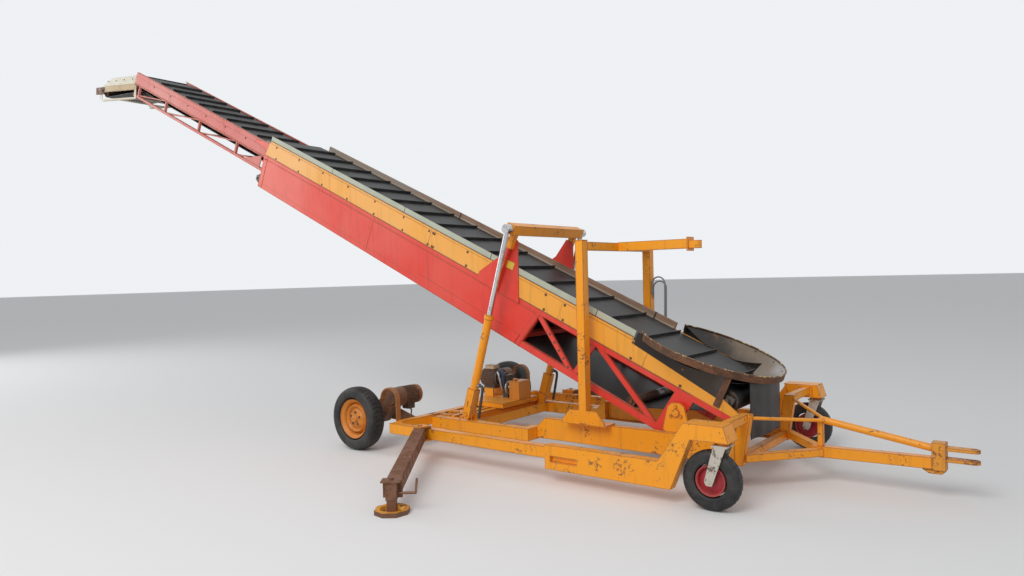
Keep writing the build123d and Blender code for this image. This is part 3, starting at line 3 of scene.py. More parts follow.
import bmesh
import bpy
import mathutils
import numpy as np
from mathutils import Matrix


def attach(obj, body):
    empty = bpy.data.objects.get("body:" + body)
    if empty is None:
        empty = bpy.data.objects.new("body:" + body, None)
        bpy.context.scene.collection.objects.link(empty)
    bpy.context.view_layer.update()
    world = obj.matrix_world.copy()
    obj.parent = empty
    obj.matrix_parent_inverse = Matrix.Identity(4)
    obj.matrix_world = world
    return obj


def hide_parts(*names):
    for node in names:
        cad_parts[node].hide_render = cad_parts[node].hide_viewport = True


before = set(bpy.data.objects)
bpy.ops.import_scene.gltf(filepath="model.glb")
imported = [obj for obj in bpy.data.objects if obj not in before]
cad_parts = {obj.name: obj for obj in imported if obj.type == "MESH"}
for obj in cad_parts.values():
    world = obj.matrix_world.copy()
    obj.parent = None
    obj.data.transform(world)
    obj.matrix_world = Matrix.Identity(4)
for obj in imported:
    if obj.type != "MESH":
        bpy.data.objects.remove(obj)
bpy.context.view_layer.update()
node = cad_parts

# Camera: stands on the near side beside the tow hitch at eye height, where the picture of the
# machine was taken, with a wide lens turned slightly down and leaning by a degree and a half.
view_from = bpy.data.cameras.new("view_from")
view_from.lens = 26.19
view_from.sensor_width = 36.0
camera = bpy.data.objects.new("view_from", view_from)
camera.location = (6.589, -5.78, 1.6)
camera.rotation_euler = [math.radians(turn) for turn in (89.095, 1.41, 38.028)]
bpy.context.scene.collection.objects.link(camera)
bpy.context.scene.camera = camera


# Sheet steel and tube of the chassis: welded box tube, sprayed yellow, chalky from years outside,
# chipped to rust along its edges, with road dust on what faces up and dirt streaks down the sides.
def opaque(value):
    """A colour's red, green and blue with full cover added; anything else stays as it is."""
    return (*value, 1.0) if isinstance(value, tuple) else value


def new_group(name, values, outputs=("Colour", "Roughness", "Height")):
    """Shader node group with named inputs and outputs; gives the tree and its input sockets."""
    tree = bpy.data.node_groups.new(name, "ShaderNodeTree")
    for label, value in values.items():
        kind = "NodeSocketColor" if isinstance(value, tuple) else "NodeSocketFloat"
        socket = tree.interface.new_socket(name=label, in_out="INPUT", socket_type=kind)
        socket.default_value = opaque(value)
    for label in outputs:
        kind = "NodeSocketColor" if label == "Colour" else "NodeSocketFloat"
        tree.interface.new_socket(name=label, in_out="OUTPUT", socket_type=kind)
    given = tree.nodes.new("NodeGroupInput").outputs
    tree.nodes.new("NodeGroupOutput")
    return tree, given


def give_out(tree, **results):
    """Join each result to the group's output of the same name."""
    for label, result in results.items():
        tree.links.new(result, tree.nodes["Group Output"].inputs[label])
    return tree


def wire(tree, kind, sources=None, **settings):
    """Add a node, set its properties, and join or fill its sockets."""
    made = tree.nodes.new(kind)
    for label, value in settings.items():
        setattr(made, label, value)
    for socket, value in (sources or {}).items():
        if isinstance(value, bpy.types.NodeSocket):
            tree.links.new(value, made.inputs[socket])
        else:
            made.inputs[socket].default_value = value
    return made


def blend_colour(tree, share, low, high):
    """Mix of two colours by a mask."""
    ends = {0: share, 6: opaque(low), 7: opaque(high)}
    return wire(tree, "ShaderNodeMix", ends, data_type="RGBA").outputs[2]


def sums(tree, operation, a, b=0.0, clamp=False):
    """One arithmetic step on two values, held between 0 and 1 where clamp is set."""
    return wire(tree, "ShaderNodeMath", {0: a, 1: b}, operation=operation, use_clamp=clamp).outputs[0]


def times(tree, a, b):
    """Product of two values."""
    return sums(tree, "MULTIPLY", a, b)


def plus(tree, a, b, clamp=False):
    """Sum of two values."""
    return sums(tree, "ADD", a, b, clamp)


def less(tree, a, b, clamp=False):
    """First value less the second."""
    return sums(tree, "SUBTRACT", a, b, clamp)


def dot(tree, a, b):
    """Dot product of two vectors."""
    return wire(tree, "ShaderNodeVectorMath", {0: a, 1: b}, operation="DOT_PRODUCT").outputs["Value"]


def object_place(tree):
    """Place on the machine, in metres."""
    return wire(tree, "ShaderNodeTexCoord").outputs["Object"]


def facing(tree):
    """Direction that the surface faces."""
    return wire(tree, "ShaderNodeNewGeometry").outputs["Normal"]


def coordinate(tree, vector, axis):
    """One number out of a vector: 0 for x, 1 for y, 2 for z."""
    return wire(tree, "ShaderNodeSeparateXYZ", {0: vector}).outputs[axis]


def step_up(tree, value, low, high):
    """Mask that rises from 0 at low to 1 at high."""
    ends = {0: value, 1: low, 2: high}
    return wire(tree, "ShaderNodeMapRange", ends, interpolation_type="SMOOTHSTEP").outputs[0]


def cloud(tree, place, size, detail=4.0, rough=0.55):
    """Noise whose blotches are about size metres across."""
    look = {"Vector": place, "Scale": 1.0 / size, "Detail": detail, "Roughness": rough}
    return wire(tree, "ShaderNodeTexNoise", look).outputs["Fac"]


RUST, LIGHT_RUST = (0.16, 0.055, 0.022), (0.30, 0.12, 0.045)
DUST, GRIME = (0.45, 0.36, 0.24), (0.055, 0.045, 0.035)

tree, given = new_group("old_paint", {
    "Paint": (0.8, 0.4, 0.02), "Faded": (0.8, 0.5, 0.2), "Fade": 0.4, "Rust": 0.4, "Dirt": 0.4,
    "Gloss": 0.4})
place, normal = object_place(tree), facing(tree)
rounded = wire(tree, "ShaderNodeBevel", {"Radius": 0.012}, samples=4).outputs[0]
edge = step_up(tree, dot(tree, rounded, normal), 0.985, 0.86)
broad = cloud(tree, place, 0.9)
patch = cloud(tree, place, 0.16, 6.0, 0.62)
speck = cloud(tree, place, 0.022, 5.0, 0.7)
upright = wire(tree, "ShaderNodeMapping", {"Vector": place, "Scale": (22.0, 22.0, 1.6)}).outputs[0]
streak = cloud(tree, upright, 1.0, 3.0)
# the sun's fading: an even part, broad blotches and small patches
fade = times(tree, step_up(tree, broad, 0.3, 0.72), given["Fade"])
fade = plus(tree, fade, times(tree, given["Fade"], 0.35), True)
colour = blend_colour(tree, fade, given["Paint"], given["Faded"])
shade = times(tree, step_up(tree, patch, 0.35, 0.75), 0.14)
colour = blend_colour(tree, shade, colour, given["Faded"])
# chips: specks, patches and edges together have to pass a level that sinks as the rust grows
level = less(tree, 0.815, times(tree, given["Rust"], 0.22))
chips = plus(tree, times(tree, speck, 0.55), times(tree, patch, 0.55))
chips = plus(tree, chips, times(tree, edge, 0.3))
worn = step_up(tree, chips, level, plus(tree, level, 0.045))
rust_shade = blend_colour(tree, step_up(tree, speck, 0.3, 0.7), RUST, LIGHT_RUST)
# dirt runs down in streaks, and dust lies on what faces up
streaks = times(tree, times(tree, step_up(tree, streak, 0.5, 0.78), given["Dirt"]), 0.34)
colour = blend_colour(tree, streaks, colour, GRIME)
dusty = times(tree, step_up(tree, coordinate(tree, normal, 2), 0.35, 0.95),
              step_up(tree, patch, 0.3, 0.7))
dusty = times(tree, dusty, times(tree, given["Dirt"], 0.55))
colour = blend_colour(tree, dusty, colour, DUST)
rough = plus(tree, times(tree, patch, 0.3), given["Gloss"])
old_paint = give_out(
    tree, Colour=blend_colour(tree, worn, colour, rust_shade),
    Roughness=plus(tree, rough, times(tree, worn, 0.35), True),
    Height=less(tree, times(tree, speck, 0.25), times(tree, worn, 0.8)))


def finish_from(name, group, values, bump=0.15, bump_depth=0.001):
    """Material whose colour, roughness and height come from a node group with these values."""
    skin = bpy.data.materials.new(name)
    skin.use_nodes = True
    tree = skin.node_tree
    shader = tree.nodes["Principled BSDF"]
    values = {label: opaque(value) for label, value in values.items()}
    source = wire(tree, "ShaderNodeGroup", values, node_tree=group).outputs
    relief = wire(tree, "ShaderNodeBump", {
        "Height": source["Height"], "Strength": bump, "Distance": bump_depth})
    tree.links.new(source["Colour"], shader.inputs["Base Color"])
    tree.links.new(source["Roughness"], shader.inputs["Roughness"])
    tree.links.new(relief.outputs[0], shader.inputs["Normal"])
    if "Metal" in source:
        tree.links.new(source["Metal"], shader.inputs["Metallic"])
    return skin


def paint(name, fresh, faded, fade=0.4, rust=0.4, dirt=0.4, gloss=0.4, bump=0.15):
    """Old paint from its fresh and faded colours and how much it is faded, rusted, dirty and dull."""
    return finish_from(name, old_paint, {
        "Paint": fresh, "Faded": faded, "Fade": fade, "Rust": rust, "Dirt": dirt, "Gloss": gloss}, bump)


def dress(skin, *names):
    """Give CAD nodes a material; a name without its side means both sides."""
    for name in names:
        for one in (name, f"{name}_near", f"{name}_far"):
            if one in node:
                node[one].data.materials.clear()
                node[one].data.materials.append(skin)


chassis_yellow = paint("chassis_yellow", (0.92, 0.315, 0.003), (0.9, 0.39, 0.018), fade=0.3, rust=0.9,
                       dirt=0.55, gloss=0.26)
dress(chassis_yellow, "side_frame", "inner_rail", "rear_beam", "front_cross", "lift_base", "gantry_posts",
      "gantry_beam", "gantry_arm", "drawbar", "pump_deck", "lift_barrel", "lift_bridge")


def cells(rows, columns, round_rows=False, round_columns=False):
    """Four-cornered faces between the points of a grid, joined end to end where it goes round."""
    index = np.arange(rows * columns).reshape(rows, columns)
    if round_rows:
        index = np.vstack([index, index[:1]])
    if round_columns:
        index = np.hstack([index, index[:, :1]])
    corners = [index[:-1, :-1], index[:-1, 1:], index[1:, 1:], index[1:, :-1]]
    return np.stack(corners, axis=-1).reshape(-1, 4)


def capped(rows, columns):
    """Faces of a closed bar: the cells round its sections, and one face over each end."""
    end = np.arange(columns)
    return [*cells(rows, columns, round_columns=True), end[::-1], end + (rows - 1) * columns]


def solid(name, points, faces, skin, crease):
    """Mesh from arrays of points and faces, smooth except where faces meet at more than the crease."""
    mesh = bpy.data.meshes.new(name)
    mesh.from_pydata(np.asarray(points).reshape(-1, 3).tolist(), [], [list(face) for face in faces])
    work = bmesh.new()
    work.from_mesh(mesh)
    bmesh.ops.recalc_face_normals(work, faces=work.faces)
    work.to_mesh(mesh)
    work.free()
    mesh.shade_smooth()
    mesh.set_sharp_from_angle(angle=math.radians(crease))
    mesh.materials.append(skin)
    piece = bpy.data.objects.new(name, mesh)
    bpy.context.scene.collection.objects.link(piece)
    return piece


def fit(body, slot, *pieces):
    """Let pieces move with a body; the slot is not used."""
    for piece in pieces:
        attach(piece, body)


def full_turn(count):
    """Angles once round, as a column."""
    return np.linspace(0.0, 2.0 * np.pi, count, endpoint=False)[:, None]


def crosswise(ahead):
    """Unit vector square to a direction: level, or along y where the direction is upright."""
    side = np.cross(ahead, (0.0, 0.0, 1.0) if abs(ahead[2]) < 0.9 else (1.0, 0.0, 0.0))
    return side / np.linalg.norm(side)


def weld(name, runs, skin, size=0.0048, pitch=0.006, sides=6):
    """Ropes of weld metal along straight runs: a low round bead whose height swells every few
    millimetres as a sine of the distance, and sinks towards both ends."""
    parts, faces = [], []
    turn = full_turn(sides).T
    for start, end in runs:
        length = np.linalg.norm(end - start)
        ahead = (end - start) / length
        side = crosswise(ahead)
        lift = np.cross(side, ahead)
        count = max(int(length / pitch), 4)
        t = np.linspace(0.0, length, count)[:, None]
        swell = size * (0.86 + 0.16 * np.sin(t * 700.0))
        swell = swell * np.minimum(1.0, 0.4 + 60.0 * np.minimum(t, length - t))
        rings = (start + t[..., None] * ahead + (swell * np.cos(turn))[..., None] * side
                 + (swell * np.sin(turn))[..., None] * lift)
        first = sum(len(part) for part in parts)
        faces += [face + first for face in capped(count, sides)]
        parts.append(rings.reshape(-1, 3))
    return solid(name, np.concatenate(parts), faces, skin, crease=60.0)


NEAR, FAR = -1.0, 1.0
SIDES = (("near", NEAR), ("far", FAR))
rear, front, inner, outer, sill = 3.2165, 3.2915, 0.5425, 0.6175, 0.372
# start and end of each weld on the far side: round the gantry post's foot, up both edges of the
# castor's post and across it, and up both edges of the lift base's ear
SEAMS = np.array([
    ((rear, inner, sill), (front, inner, sill)), ((rear, outer, sill), (front, outer, sill)),
    ((rear, inner, sill), (rear, outer, sill)), ((front, inner, sill), (front, outer, sill)),
    ((4.505, 0.959, 0.430), (4.505, 0.959, 0.550)), ((4.628, 0.959, 0.430), (4.628, 0.959, 0.550)),
    ((4.505, 0.959, 0.559), (4.628, 0.959, 0.559)),
    ((1.914, 0.648, 0.200), (1.914, 0.648, 0.365)), ((2.062, 0.648, 0.200), (2.062, 0.648, 0.365))])
for mark, side in SIDES:
    beads = weld(f"chassis_welds_{mark}", SEAMS * (1.0, side, 1.0), chassis_yellow)
    fit("chassis", "frame_yellow", beads)


# Wheels: cross-ply farm tyres, moulded rubber with a worn block tread, on pressed steel rims that
# are painted and bolted to their hubs with a ring of nuts; the drive wheels have orange rims.
def surface(name, grid, skin, round_rows=False, round_columns=False, crease=38.0):
    """Mesh over a grid of points, one face for each cell."""
    return solid(name, grid, cells(*grid.shape[:2], round_rows, round_columns), skin, crease)


def smooth_step(value, low, high):
    """0 below low, 1 above high, and an S-curve of third degree between."""
    t = np.clip((value - low) / (high - low), 0.0, 1.0)
    return t * t * (3.0 - 2.0 * t)


def tyre_grid(outer, inner, half, blocks, depth, centre, side):
    """Superellipse section carried round; blocks stand out where lanes along the tread and grooves
    slanted across it miss, and a low ring runs round each wall."""
    turn = full_turn(blocks * 10)
    t = np.radians(np.linspace(-46.0, 226.0, 46))[None, :]
    across = half * np.sign(np.cos(t)) * np.abs(np.cos(t)) ** 0.72
    rise = (outer - inner) / 2.0
    radius = (outer + inner) / 2.0 + rise * np.sign(np.sin(t)) * np.abs(np.sin(t)) ** 0.66
    share = across / half
    lane = np.abs(((share * 2.4 + 0.5) % 1.0) - 0.5)
    slant = np.abs(((turn * blocks / (2.0 * np.pi) + 0.55 * np.abs(share)) % 1.0) - 0.5)
    block = np.minimum(smooth_step(0.5 - lane, 0.03, 0.07), smooth_step(0.5 - slant, 0.06, 0.12))
    top = smooth_step(np.sin(t), 0.70, 0.86)
    radius = radius - depth * (1.0 - block) * top
    ring = 0.0022 * (smooth_step(radius, inner + 0.30 * rise, inner + 0.36 * rise)
                     - smooth_step(radius, inner + 0.52 * rise, inner + 0.58 * rise))
    across = across + ring * np.sign(across) * (1.0 - top) + 0.0 * turn
    points = np.stack([radius * np.cos(turn), side * across, radius * np.sin(turn)], axis=-1)
    return points + np.asarray(centre)


tree, given = new_group("old_rubber", {"Rubber": (0.02, 0.02, 0.022), "Dust": 0.4, "Gloss": 0.55})
place = object_place(tree)
patch = cloud(tree, place, 0.13, 5.0, 0.6)
dust = times(tree, step_up(tree, patch, 0.34, 0.7), given["Dust"])
old_rubber = give_out(
    tree, Colour=blend_colour(tree, dust, given["Rubber"], (0.22, 0.2, 0.17)),
    Roughness=plus(tree, given["Gloss"], times(tree, dust, 0.35), True),
    Height=cloud(tree, place, 0.006, 3.0))


def rubber(name, tone, dust, gloss, bump=0.15):
    """Old rubber from its colour and how dusty and dull it is."""
    return finish_from(name, old_rubber, {"Rubber": tone, "Dust": dust, "Gloss": gloss}, bump)


tyre_rubber = rubber("tyre_rubber", (0.008, 0.008, 0.009), dust=0.17, gloss=0.62, bump=0.25)
rear_paint = paint("rear_rim_paint", (0.6, 0.17, 0.01), (0.66, 0.26, 0.03), rust=0.85, dirt=0.5,
                   gloss=0.35)
castor_paint = paint("castor_rim_paint", (0.36, 0.01, 0.022), (0.45, 0.05, 0.07), fade=0.35, rust=0.35,
                     dirt=0.35, gloss=0.35)
dark_nut = paint("dark_nut", (0.055, 0.045, 0.04), (0.12, 0.1, 0.08), fade=0.3, rust=0.8, dirt=0.3)
dress(rear_paint, "rear_rim")
dress(castor_paint, "castor_rim")


def on_circle(centre, radius, angles, across=(1.0, 0.0, 0.0)):
    """Points round a centre at these angles, turning from one level direction towards upright."""
    cos, sin = np.cos(angles)[:, None], np.sin(angles)[:, None]
    return np.asarray(centre) + radius * (cos * across + sin * (0.0, 0.0, 1.0))


def bolt_heads(name, places, out, skin, size, height):
    """Hexagon heads on washers, one at each place, standing out along one direction; their radii
    and heights are shares of the size."""
    out = np.asarray(out, float) / np.linalg.norm(out)
    side = crosswise(out)
    axes = np.stack([side, np.cross(out, side), out])
    turn = np.radians(np.arange(12) * 30.0)
    circle = np.stack([np.cos(turn), np.sin(turn)], axis=-1)
    hexagon = np.repeat(circle[::2], 2, axis=0)
    # outline, radius and height of each ring
    rings = [(circle, 1.35, -0.3), (circle, 1.35, 0.16), (hexagon, 0.98, 0.16), (hexagon, 0.98, height),
             (hexagon, 0.82, height + 0.12), (circle, 0.0, height + 0.12)]
    head = np.stack([np.column_stack([outline * radius, np.full(12, rise)])
                     for outline, radius, rise in rings]) * size
    points = places[:, None, None, :] + (head @ axes)[None]
    first = np.arange(len(places)) * 12 * len(rings)
    faces = cells(len(rings), 12, round_columns=True)[None] + first[:, None, None]
    return solid(name, points, faces.reshape(-1, 4), skin, crease=30.0)


# closed section of the drive wheel's rim as (radius, height over the wheel's middle plane): hub cap,
# nut seats, pressed ring, well, flanges and back
REAR_RIM = np.array([
    (0.004, 0.061), (0.027, 0.061), (0.033, 0.057), (0.035, 0.040), (0.042, 0.034), (0.052, 0.034),
    (0.068, 0.034), (0.080, 0.028), (0.090, 0.016), (0.098, 0.014), (0.106, 0.026), (0.113, 0.040),
    (0.121, 0.042), (0.129, 0.034), (0.136, 0.012), (0.142, 0.000), (0.148, 0.004), (0.153, 0.026),
    (0.160, 0.043), (0.170, 0.049), (0.177, 0.055), (0.180, 0.063), (0.1848, 0.0655), (0.1848, -0.0655),
    (0.180, -0.063), (0.177, -0.055), (0.170, -0.049), (0.160, -0.043), (0.153, -0.026), (0.148, -0.010),
    (0.142, -0.010), (0.130, 0.010), (0.117, 0.026), (0.098, 0.002), (0.080, 0.008), (0.066, 0.010),
    (0.061, -0.0245), (0.004, -0.0245)])


def rim_grid(centre, side):
    """The section carried round; the nut seats rise and fall five times as a cosine of the angle."""
    turn = full_turn(120)
    radius = REAR_RIM[None, :, 0] + 0.0 * turn
    raised = smooth_step(radius, 0.040, 0.056) - smooth_step(radius, 0.072, 0.094)
    front = (REAR_RIM[None, :, 1] > 0.012).astype(float)
    offset = REAR_RIM[None, :, 1] + 0.0055 * raised * front * np.cos(5.0 * (turn - 0.3))
    points = np.stack([radius * np.cos(turn), side * offset, radius * np.sin(turn)], axis=-1)
    return points + np.asarray(centre)


# name, x, y, tyre radius, rim radius, half width, tread blocks, tread depth, height of the disc's
# outer face over the middle plane, nuts: count, radius of their ring, size, slot
AXLES = (("rear", 1.0794, 1.150, 0.295, 0.185, 0.0825, 44, 0.005, 0.0395, 5, 0.060, 0.0095, "rim_orange"),
         ("castor", 4.5594, 1.060, 0.204, 0.105, 0.050, 30, 0.004, 0.0335, 4, 0.027, 0.0055, "rim_red"))
for mark, side in SIDES:
    for axle, x, y, outer, inner, half, blocks, depth, face, nuts, ring, nut, slot in AXLES:
        wheel, centre = f"{axle}_wheel_{mark}", (x, side * y, outer)
        tyre = surface(f"{axle}_tyre_tread_{mark}",
                       tyre_grid(outer, inner, half, blocks, depth, centre, side), tyre_rubber,
                       round_rows=True)
        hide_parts(f"{axle}_tyre_{mark}")
        fit(wheel, "tyre_black", tyre)
        if axle == "rear":
            rim = surface(f"rear_rim_pressed_{mark}", rim_grid(centre, side), rear_paint,
                          round_rows=True, round_columns=True, crease=50.0)
            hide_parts(f"rear_rim_{mark}")
            fit(wheel, slot, rim)
        seats = on_circle((x, side * (y + face), outer), ring, np.arange(nuts) * 2.0 * np.pi / nuts + 0.3)
        fit(wheel, slot, bolt_heads(f"{axle}_nuts_{mark}", seats, (0.0, side, 0.0), dark_nut,
                                    size=nut, height=0.8))

# Boom: two sides of folded and welded sheet with a lattice foot, sprayed red. The sun has bleached
# it towards pink near the head, and sheets, doublers and folds show as low steps and lines of dirt.
BOOM_TURN = math.radians(24.5)
UP_BOOM = np.array([-math.cos(BOOM_TURN), 0.0, math.sin(BOOM_TURN)])
OFF_BOOM = np.array([math.sin(BOOM_TURN), 0.0, math.cos(BOOM_TURN)])
PIVOT, PIVOT_V = np.array([4.0294, 0.0, 0.513]), 0.236
PIVOT_ALONG = float(PIVOT @ UP_BOOM)


def on_boom(u, y, v):
    """Points from their distance up the boom, across it, and off its underside."""
    u, y, v = np.broadcast_arrays(u, y, v)
    across = y[..., None] * np.array([0.0, 1.0, 0.0])
    return PIVOT + u[..., None] * UP_BOOM + (v - PIVOT_V)[..., None] * OFF_BOOM + across


def feed(skin, **results):
    """Let worked-out results drive the inputs of a material's group."""
    source = next(n for n in skin.node_tree.nodes if n.type == "GROUP")
    for label, result in results.items():
        skin.node_tree.links.new(result, source.inputs[label])


def bleached(skin, start, end, low, high):
    """Let a paint fade along the boom, from one share to another between two distances up it."""
    tree = skin.node_tree
    along = dot(tree, object_place(tree), tuple(UP_BOOM))
    feed(skin, Fade=wire(tree, "ShaderNodeMapRange", {
        0: along, 1: PIVOT_ALONG + start, 2: PIVOT_ALONG + end, 3: low, 4: high}).outputs[0])
    return skin


boom_paint = bleached(paint("boom_paint", (0.74, 0.028, 0.014), (0.78, 0.16, 0.115), rust=0.5, dirt=0.55,
                            gloss=0.24), start=1.0, end=6.0, low=0.15, high=0.62)
extension_paint = bleached(paint("extension_paint", (0.62, 0.1, 0.08), (0.7, 0.28, 0.24), rust=0.6,
                                 dirt=0.6), start=5.5, end=9.6, low=0.3, high=0.95)
dress(boom_paint, "boom_side", "boom_ties", "bridge_gussets")
dress(extension_paint, "extension_side", "extension_ties")


def oblong(u0, v0, u1, v1):
    """Corners of a plate between two distances up the boom and two off its underside."""
    return [(u0, v0), (u1, v0), (u1, v1), (u0, v1)]


def plate_on(name, outline, side, y, skin, thick, sunk=0.0006):
    """Thin plate of a (u, v) outline on a face at y, sunk a little into it, its top drawn in by just
    over a millimetre towards the middle."""
    outline = np.asarray(outline, float)
    pull = outline - outline.mean(axis=0)
    top = outline.mean(axis=0) + pull * (1.0 - 0.0012 / np.linalg.norm(pull, axis=1, keepdims=True))
    rings = np.stack([on_boom(ring[:, 0], side * (y + out), ring[:, 1])
                      for ring, out in ((outline, -sunk), (outline, thick * 0.6), (top, thick))])
    return solid(name, rings, capped(3, len(outline)), skin, crease=25.0)


BOOM_FACE = 0.440
# name, (u, v) outline and thickness of each piece of sheet welded on the red side
BOOM_SHEETS = (
    ("foot_doubler", [(1.66, 0.004), (3.06, 0.004), (3.03, 0.105), (1.63, 0.105)], 0.003),
    ("chord_band_low", oblong(1.56, 0.352, 3.86, 0.362), 0.003),
    ("chord_band_high", oblong(3.90, 0.352, 5.98, 0.362), 0.003),
    ("seam_strap", oblong(3.862, 0.02, 3.898, 0.405), 0.0022),
    ("end_band", oblong(5.93, 0.01, 6.00, 0.40), 0.003),
    ("slant_band", [(1.615, 0.01), (1.665, 0.01), (1.565, 0.345), (1.513, 0.345)], 0.003))
for mark, side in SIDES:
    for label, outline, thick in BOOM_SHEETS:
        piece = plate_on(f"{label}_{mark}", outline, side, BOOM_FACE, boom_paint, thick)
        fit("boom", "boom_red", piece)
    # dark heads on the lattice's slanted post, which rises 0.63 for each metre up the boom; they stand in for
    # the post's holes, whose darkness is painted shade
    u = np.array([1.06, 1.13, 1.20, 1.27, 1.34])
    places = on_boom(u, side * (BOOM_FACE - 0.004), 0.075 + (u - u[0]) * 0.63)
    hole_shades = bolt_heads(f"lattice_hole_shade_{mark}", places, (0.0, side, 0.0), dark_nut, size=0.009,
                       height=0.25)
    fit("boom", "boom_red", hole_shades)

# Side panels: thin yellow sheets, screwed to the red sides in overlapping lengths with dark screws
# along both edges; weather has turned them pale, most of all on the upper half.
panel_paint = bleached(paint("panel_paint", (0.87, 0.36, 0.02), (0.87, 0.44, 0.13), rust=0.45, dirt=0.55,
                             gloss=0.3), start=0.0, end=5.5, low=0.1, high=0.95)
dress(panel_paint, "side_panel")
PANEL_FACE, PANEL_LOW, PANEL_HIGH, PANEL_END = 0.444, 0.412, 0.573, 5.93
LAP_THICK, STRIP_START = 0.0018, 0.585
for mark, side in SIDES:
    # first and last distance of each overlapping length
    for number, (first, last) in enumerate(((3.02, 5.94), (0.42, 1.32))):
        lap = plate_on(f"panel_lap_{number}_{mark}", oblong(first, PANEL_LOW, last, PANEL_HIGH),
                       side, PANEL_FACE, panel_paint, LAP_THICK)
        fit("boom", "panel_yellow", lap)
    u = np.concatenate([np.arange(2.50, 5.9, 0.47), np.arange(0.10, 1.7, 0.47), [2.99, 3.05, 1.29]])
    y = side * (PANEL_FACE + LAP_THICK)
    places = np.concatenate([on_boom(u, y, 0.556), on_boom(u - 0.03, y, 0.428)])
    screws = bolt_heads(f"panel_screws_{mark}", places, (0.0, side, 0.0), dark_nut, size=0.0095,
                        height=0.5)
    # dark band, 7 mm tall, along the panel's lower edge on the red side
    bead = plate_on(f"panel_dark_band_low_{mark}", oblong(-0.05, 0.404, PANEL_END, 0.411), side, BOOM_FACE,
                    dark_nut, thick=0.0035)
    fit("boom", "panel_yellow", screws, bead)
# fold that holds the strip on the near side, with a dark band along its top that is painted shade in the seam
# under the strip
fold = plate_on("panel_fold", oblong(STRIP_START, PANEL_HIGH, PANEL_END, 0.598), NEAR, PANEL_FACE,
                panel_paint, thick=0.0022)
bead = plate_on("panel_seam_shade_high", oblong(STRIP_START, 0.597, PANEL_END, 0.604), NEAR, PANEL_FACE,
                dark_nut, thick=0.0032)
fit("boom", "panel_yellow", fold, bead)

# Sealing strip and board: a grey-green plastic strip in short lengths along the near panel's edge,
# and a weathered timber board along the far one, bleached grey at its upper end.
tree, given = new_group("edge_strip", {
    "Colour": (0.5, 0.52, 0.42), "Worn": (0.3, 0.3, 0.26), "Gloss": 0.5, "Length": 1.2,
    "Grain": 0.0})
place = object_place(tree)
along, off = dot(tree, place, tuple(UP_BOOM)), dot(tree, place, tuple(OFF_BOOM))
# a dark line, 6 thousandths of a length wide, where two lengths meet
joint = sums(tree, "LESS_THAN", sums(tree, "FRACT", sums(tree, "DIVIDE", along, given["Length"])), 0.006)
stretched = wire(tree, "ShaderNodeCombineXYZ", {0: times(tree, along, 3.0), 1: times(tree, off, 90.0)})
fibre = cloud(tree, stretched.outputs[0], 1.0, 5.0, 0.6)
patch = cloud(tree, place, 0.25)
share = times(tree, step_up(tree, fibre, 0.35, 0.68), given["Grain"])
share = plus(tree, share, times(tree, step_up(tree, patch, 0.42, 0.72), 0.45), True)
colour = blend_colour(tree, share, given["Colour"], given["Worn"])
edge_strip = give_out(
    tree, Colour=blend_colour(tree, joint, colour, (0.03, 0.028, 0.025)), Roughness=given["Gloss"],
    Height=less(tree, times(tree, fibre, given["Grain"]), joint))


def timber(name, tone, worn):
    """Weathered wood in lengths of 2.6 m, with its grain along the boom."""
    return finish_from(name, edge_strip, {
        "Colour": tone, "Worn": worn, "Gloss": 0.85, "Length": 2.6, "Grain": 0.8},
                       bump=0.5, bump_depth=0.002)


strip_plastic = finish_from("strip_plastic", edge_strip, {
    "Colour": (0.47, 0.49, 0.38), "Worn": (0.33, 0.35, 0.29), "Gloss": 0.55, "Length": 1.24,
    "Grain": 0.12})
BOARD = (0.235, 0.125, 0.075)
board_timber = timber("board_timber", BOARD, (0.36, 0.24, 0.17))
tree = board_timber.node_tree
along = dot(tree, object_place(tree), tuple(UP_BOOM))
grey_end = step_up(tree, along, PIVOT_ALONG + 3.2, PIVOT_ALONG + 4.7)
feed(board_timber, Colour=blend_colour(tree, grey_end, BOARD, (0.33, 0.31, 0.27)))
lath_timber = timber("lath_timber", (0.36, 0.28, 0.2), (0.44, 0.38, 0.3))
# the lath lies on the far board's inner face, which looks towards the near side
lath = plate_on("board_lath", oblong(0.645, 0.5770, 5.925, 0.5925), NEAR, -0.4185, lath_timber,
                thick=0.0035, sunk=0.0003)
fit("boom", "board_brown", lath)
dress(strip_plastic, "side_strip")
dress(board_timber, "side_board")

# Belts: ribbed black rubber with cleats moulded on, run endless over the drums; polished where the
# crop runs and dusty between the cleats.
belt_rubber = rubber("belt_rubber", (0.013, 0.013, 0.014), dust=0.13, gloss=0.5, bump=0.3)
dress(belt_rubber, "main_belt", "extension_belt")


# Tail curtain: sheet of old belting hung in a bow under the pan; it has set in shallow waves that
# grow towards its free lower edge.
def curtain_sheet(half=0.328, front=4.5833, top=0.7455, low=0.334):
    """Grid over the sheet's width and drop: bowed back and upwards at its sides as the square of the
    width, waved as a sine that grows with the drop."""
    across = np.linspace(-half, half, 66)[:, None]
    drop = np.linspace(0.0, 1.0, 34)[None, :]
    bow = (across / 0.330) ** 2
    x = front - 0.030 * bow + 0.0035 * drop * np.sin(across * 31.0 + 0.8)
    top = top + 0.021 * bow
    low = low + 0.003 * np.sin(across * 19.0)
    return np.stack([x, across + 0.0 * drop, top + (low - top) * drop], axis=-1)


curtain = surface("tail_curtain_sheet", curtain_sheet(), belt_rubber)
thick = curtain.modifiers.new("thickness", "SOLIDIFY")
thick.thickness = 0.006
thick.offset = 0.0
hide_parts("tail_curtain")
fit("boom", "belt_black", curtain)

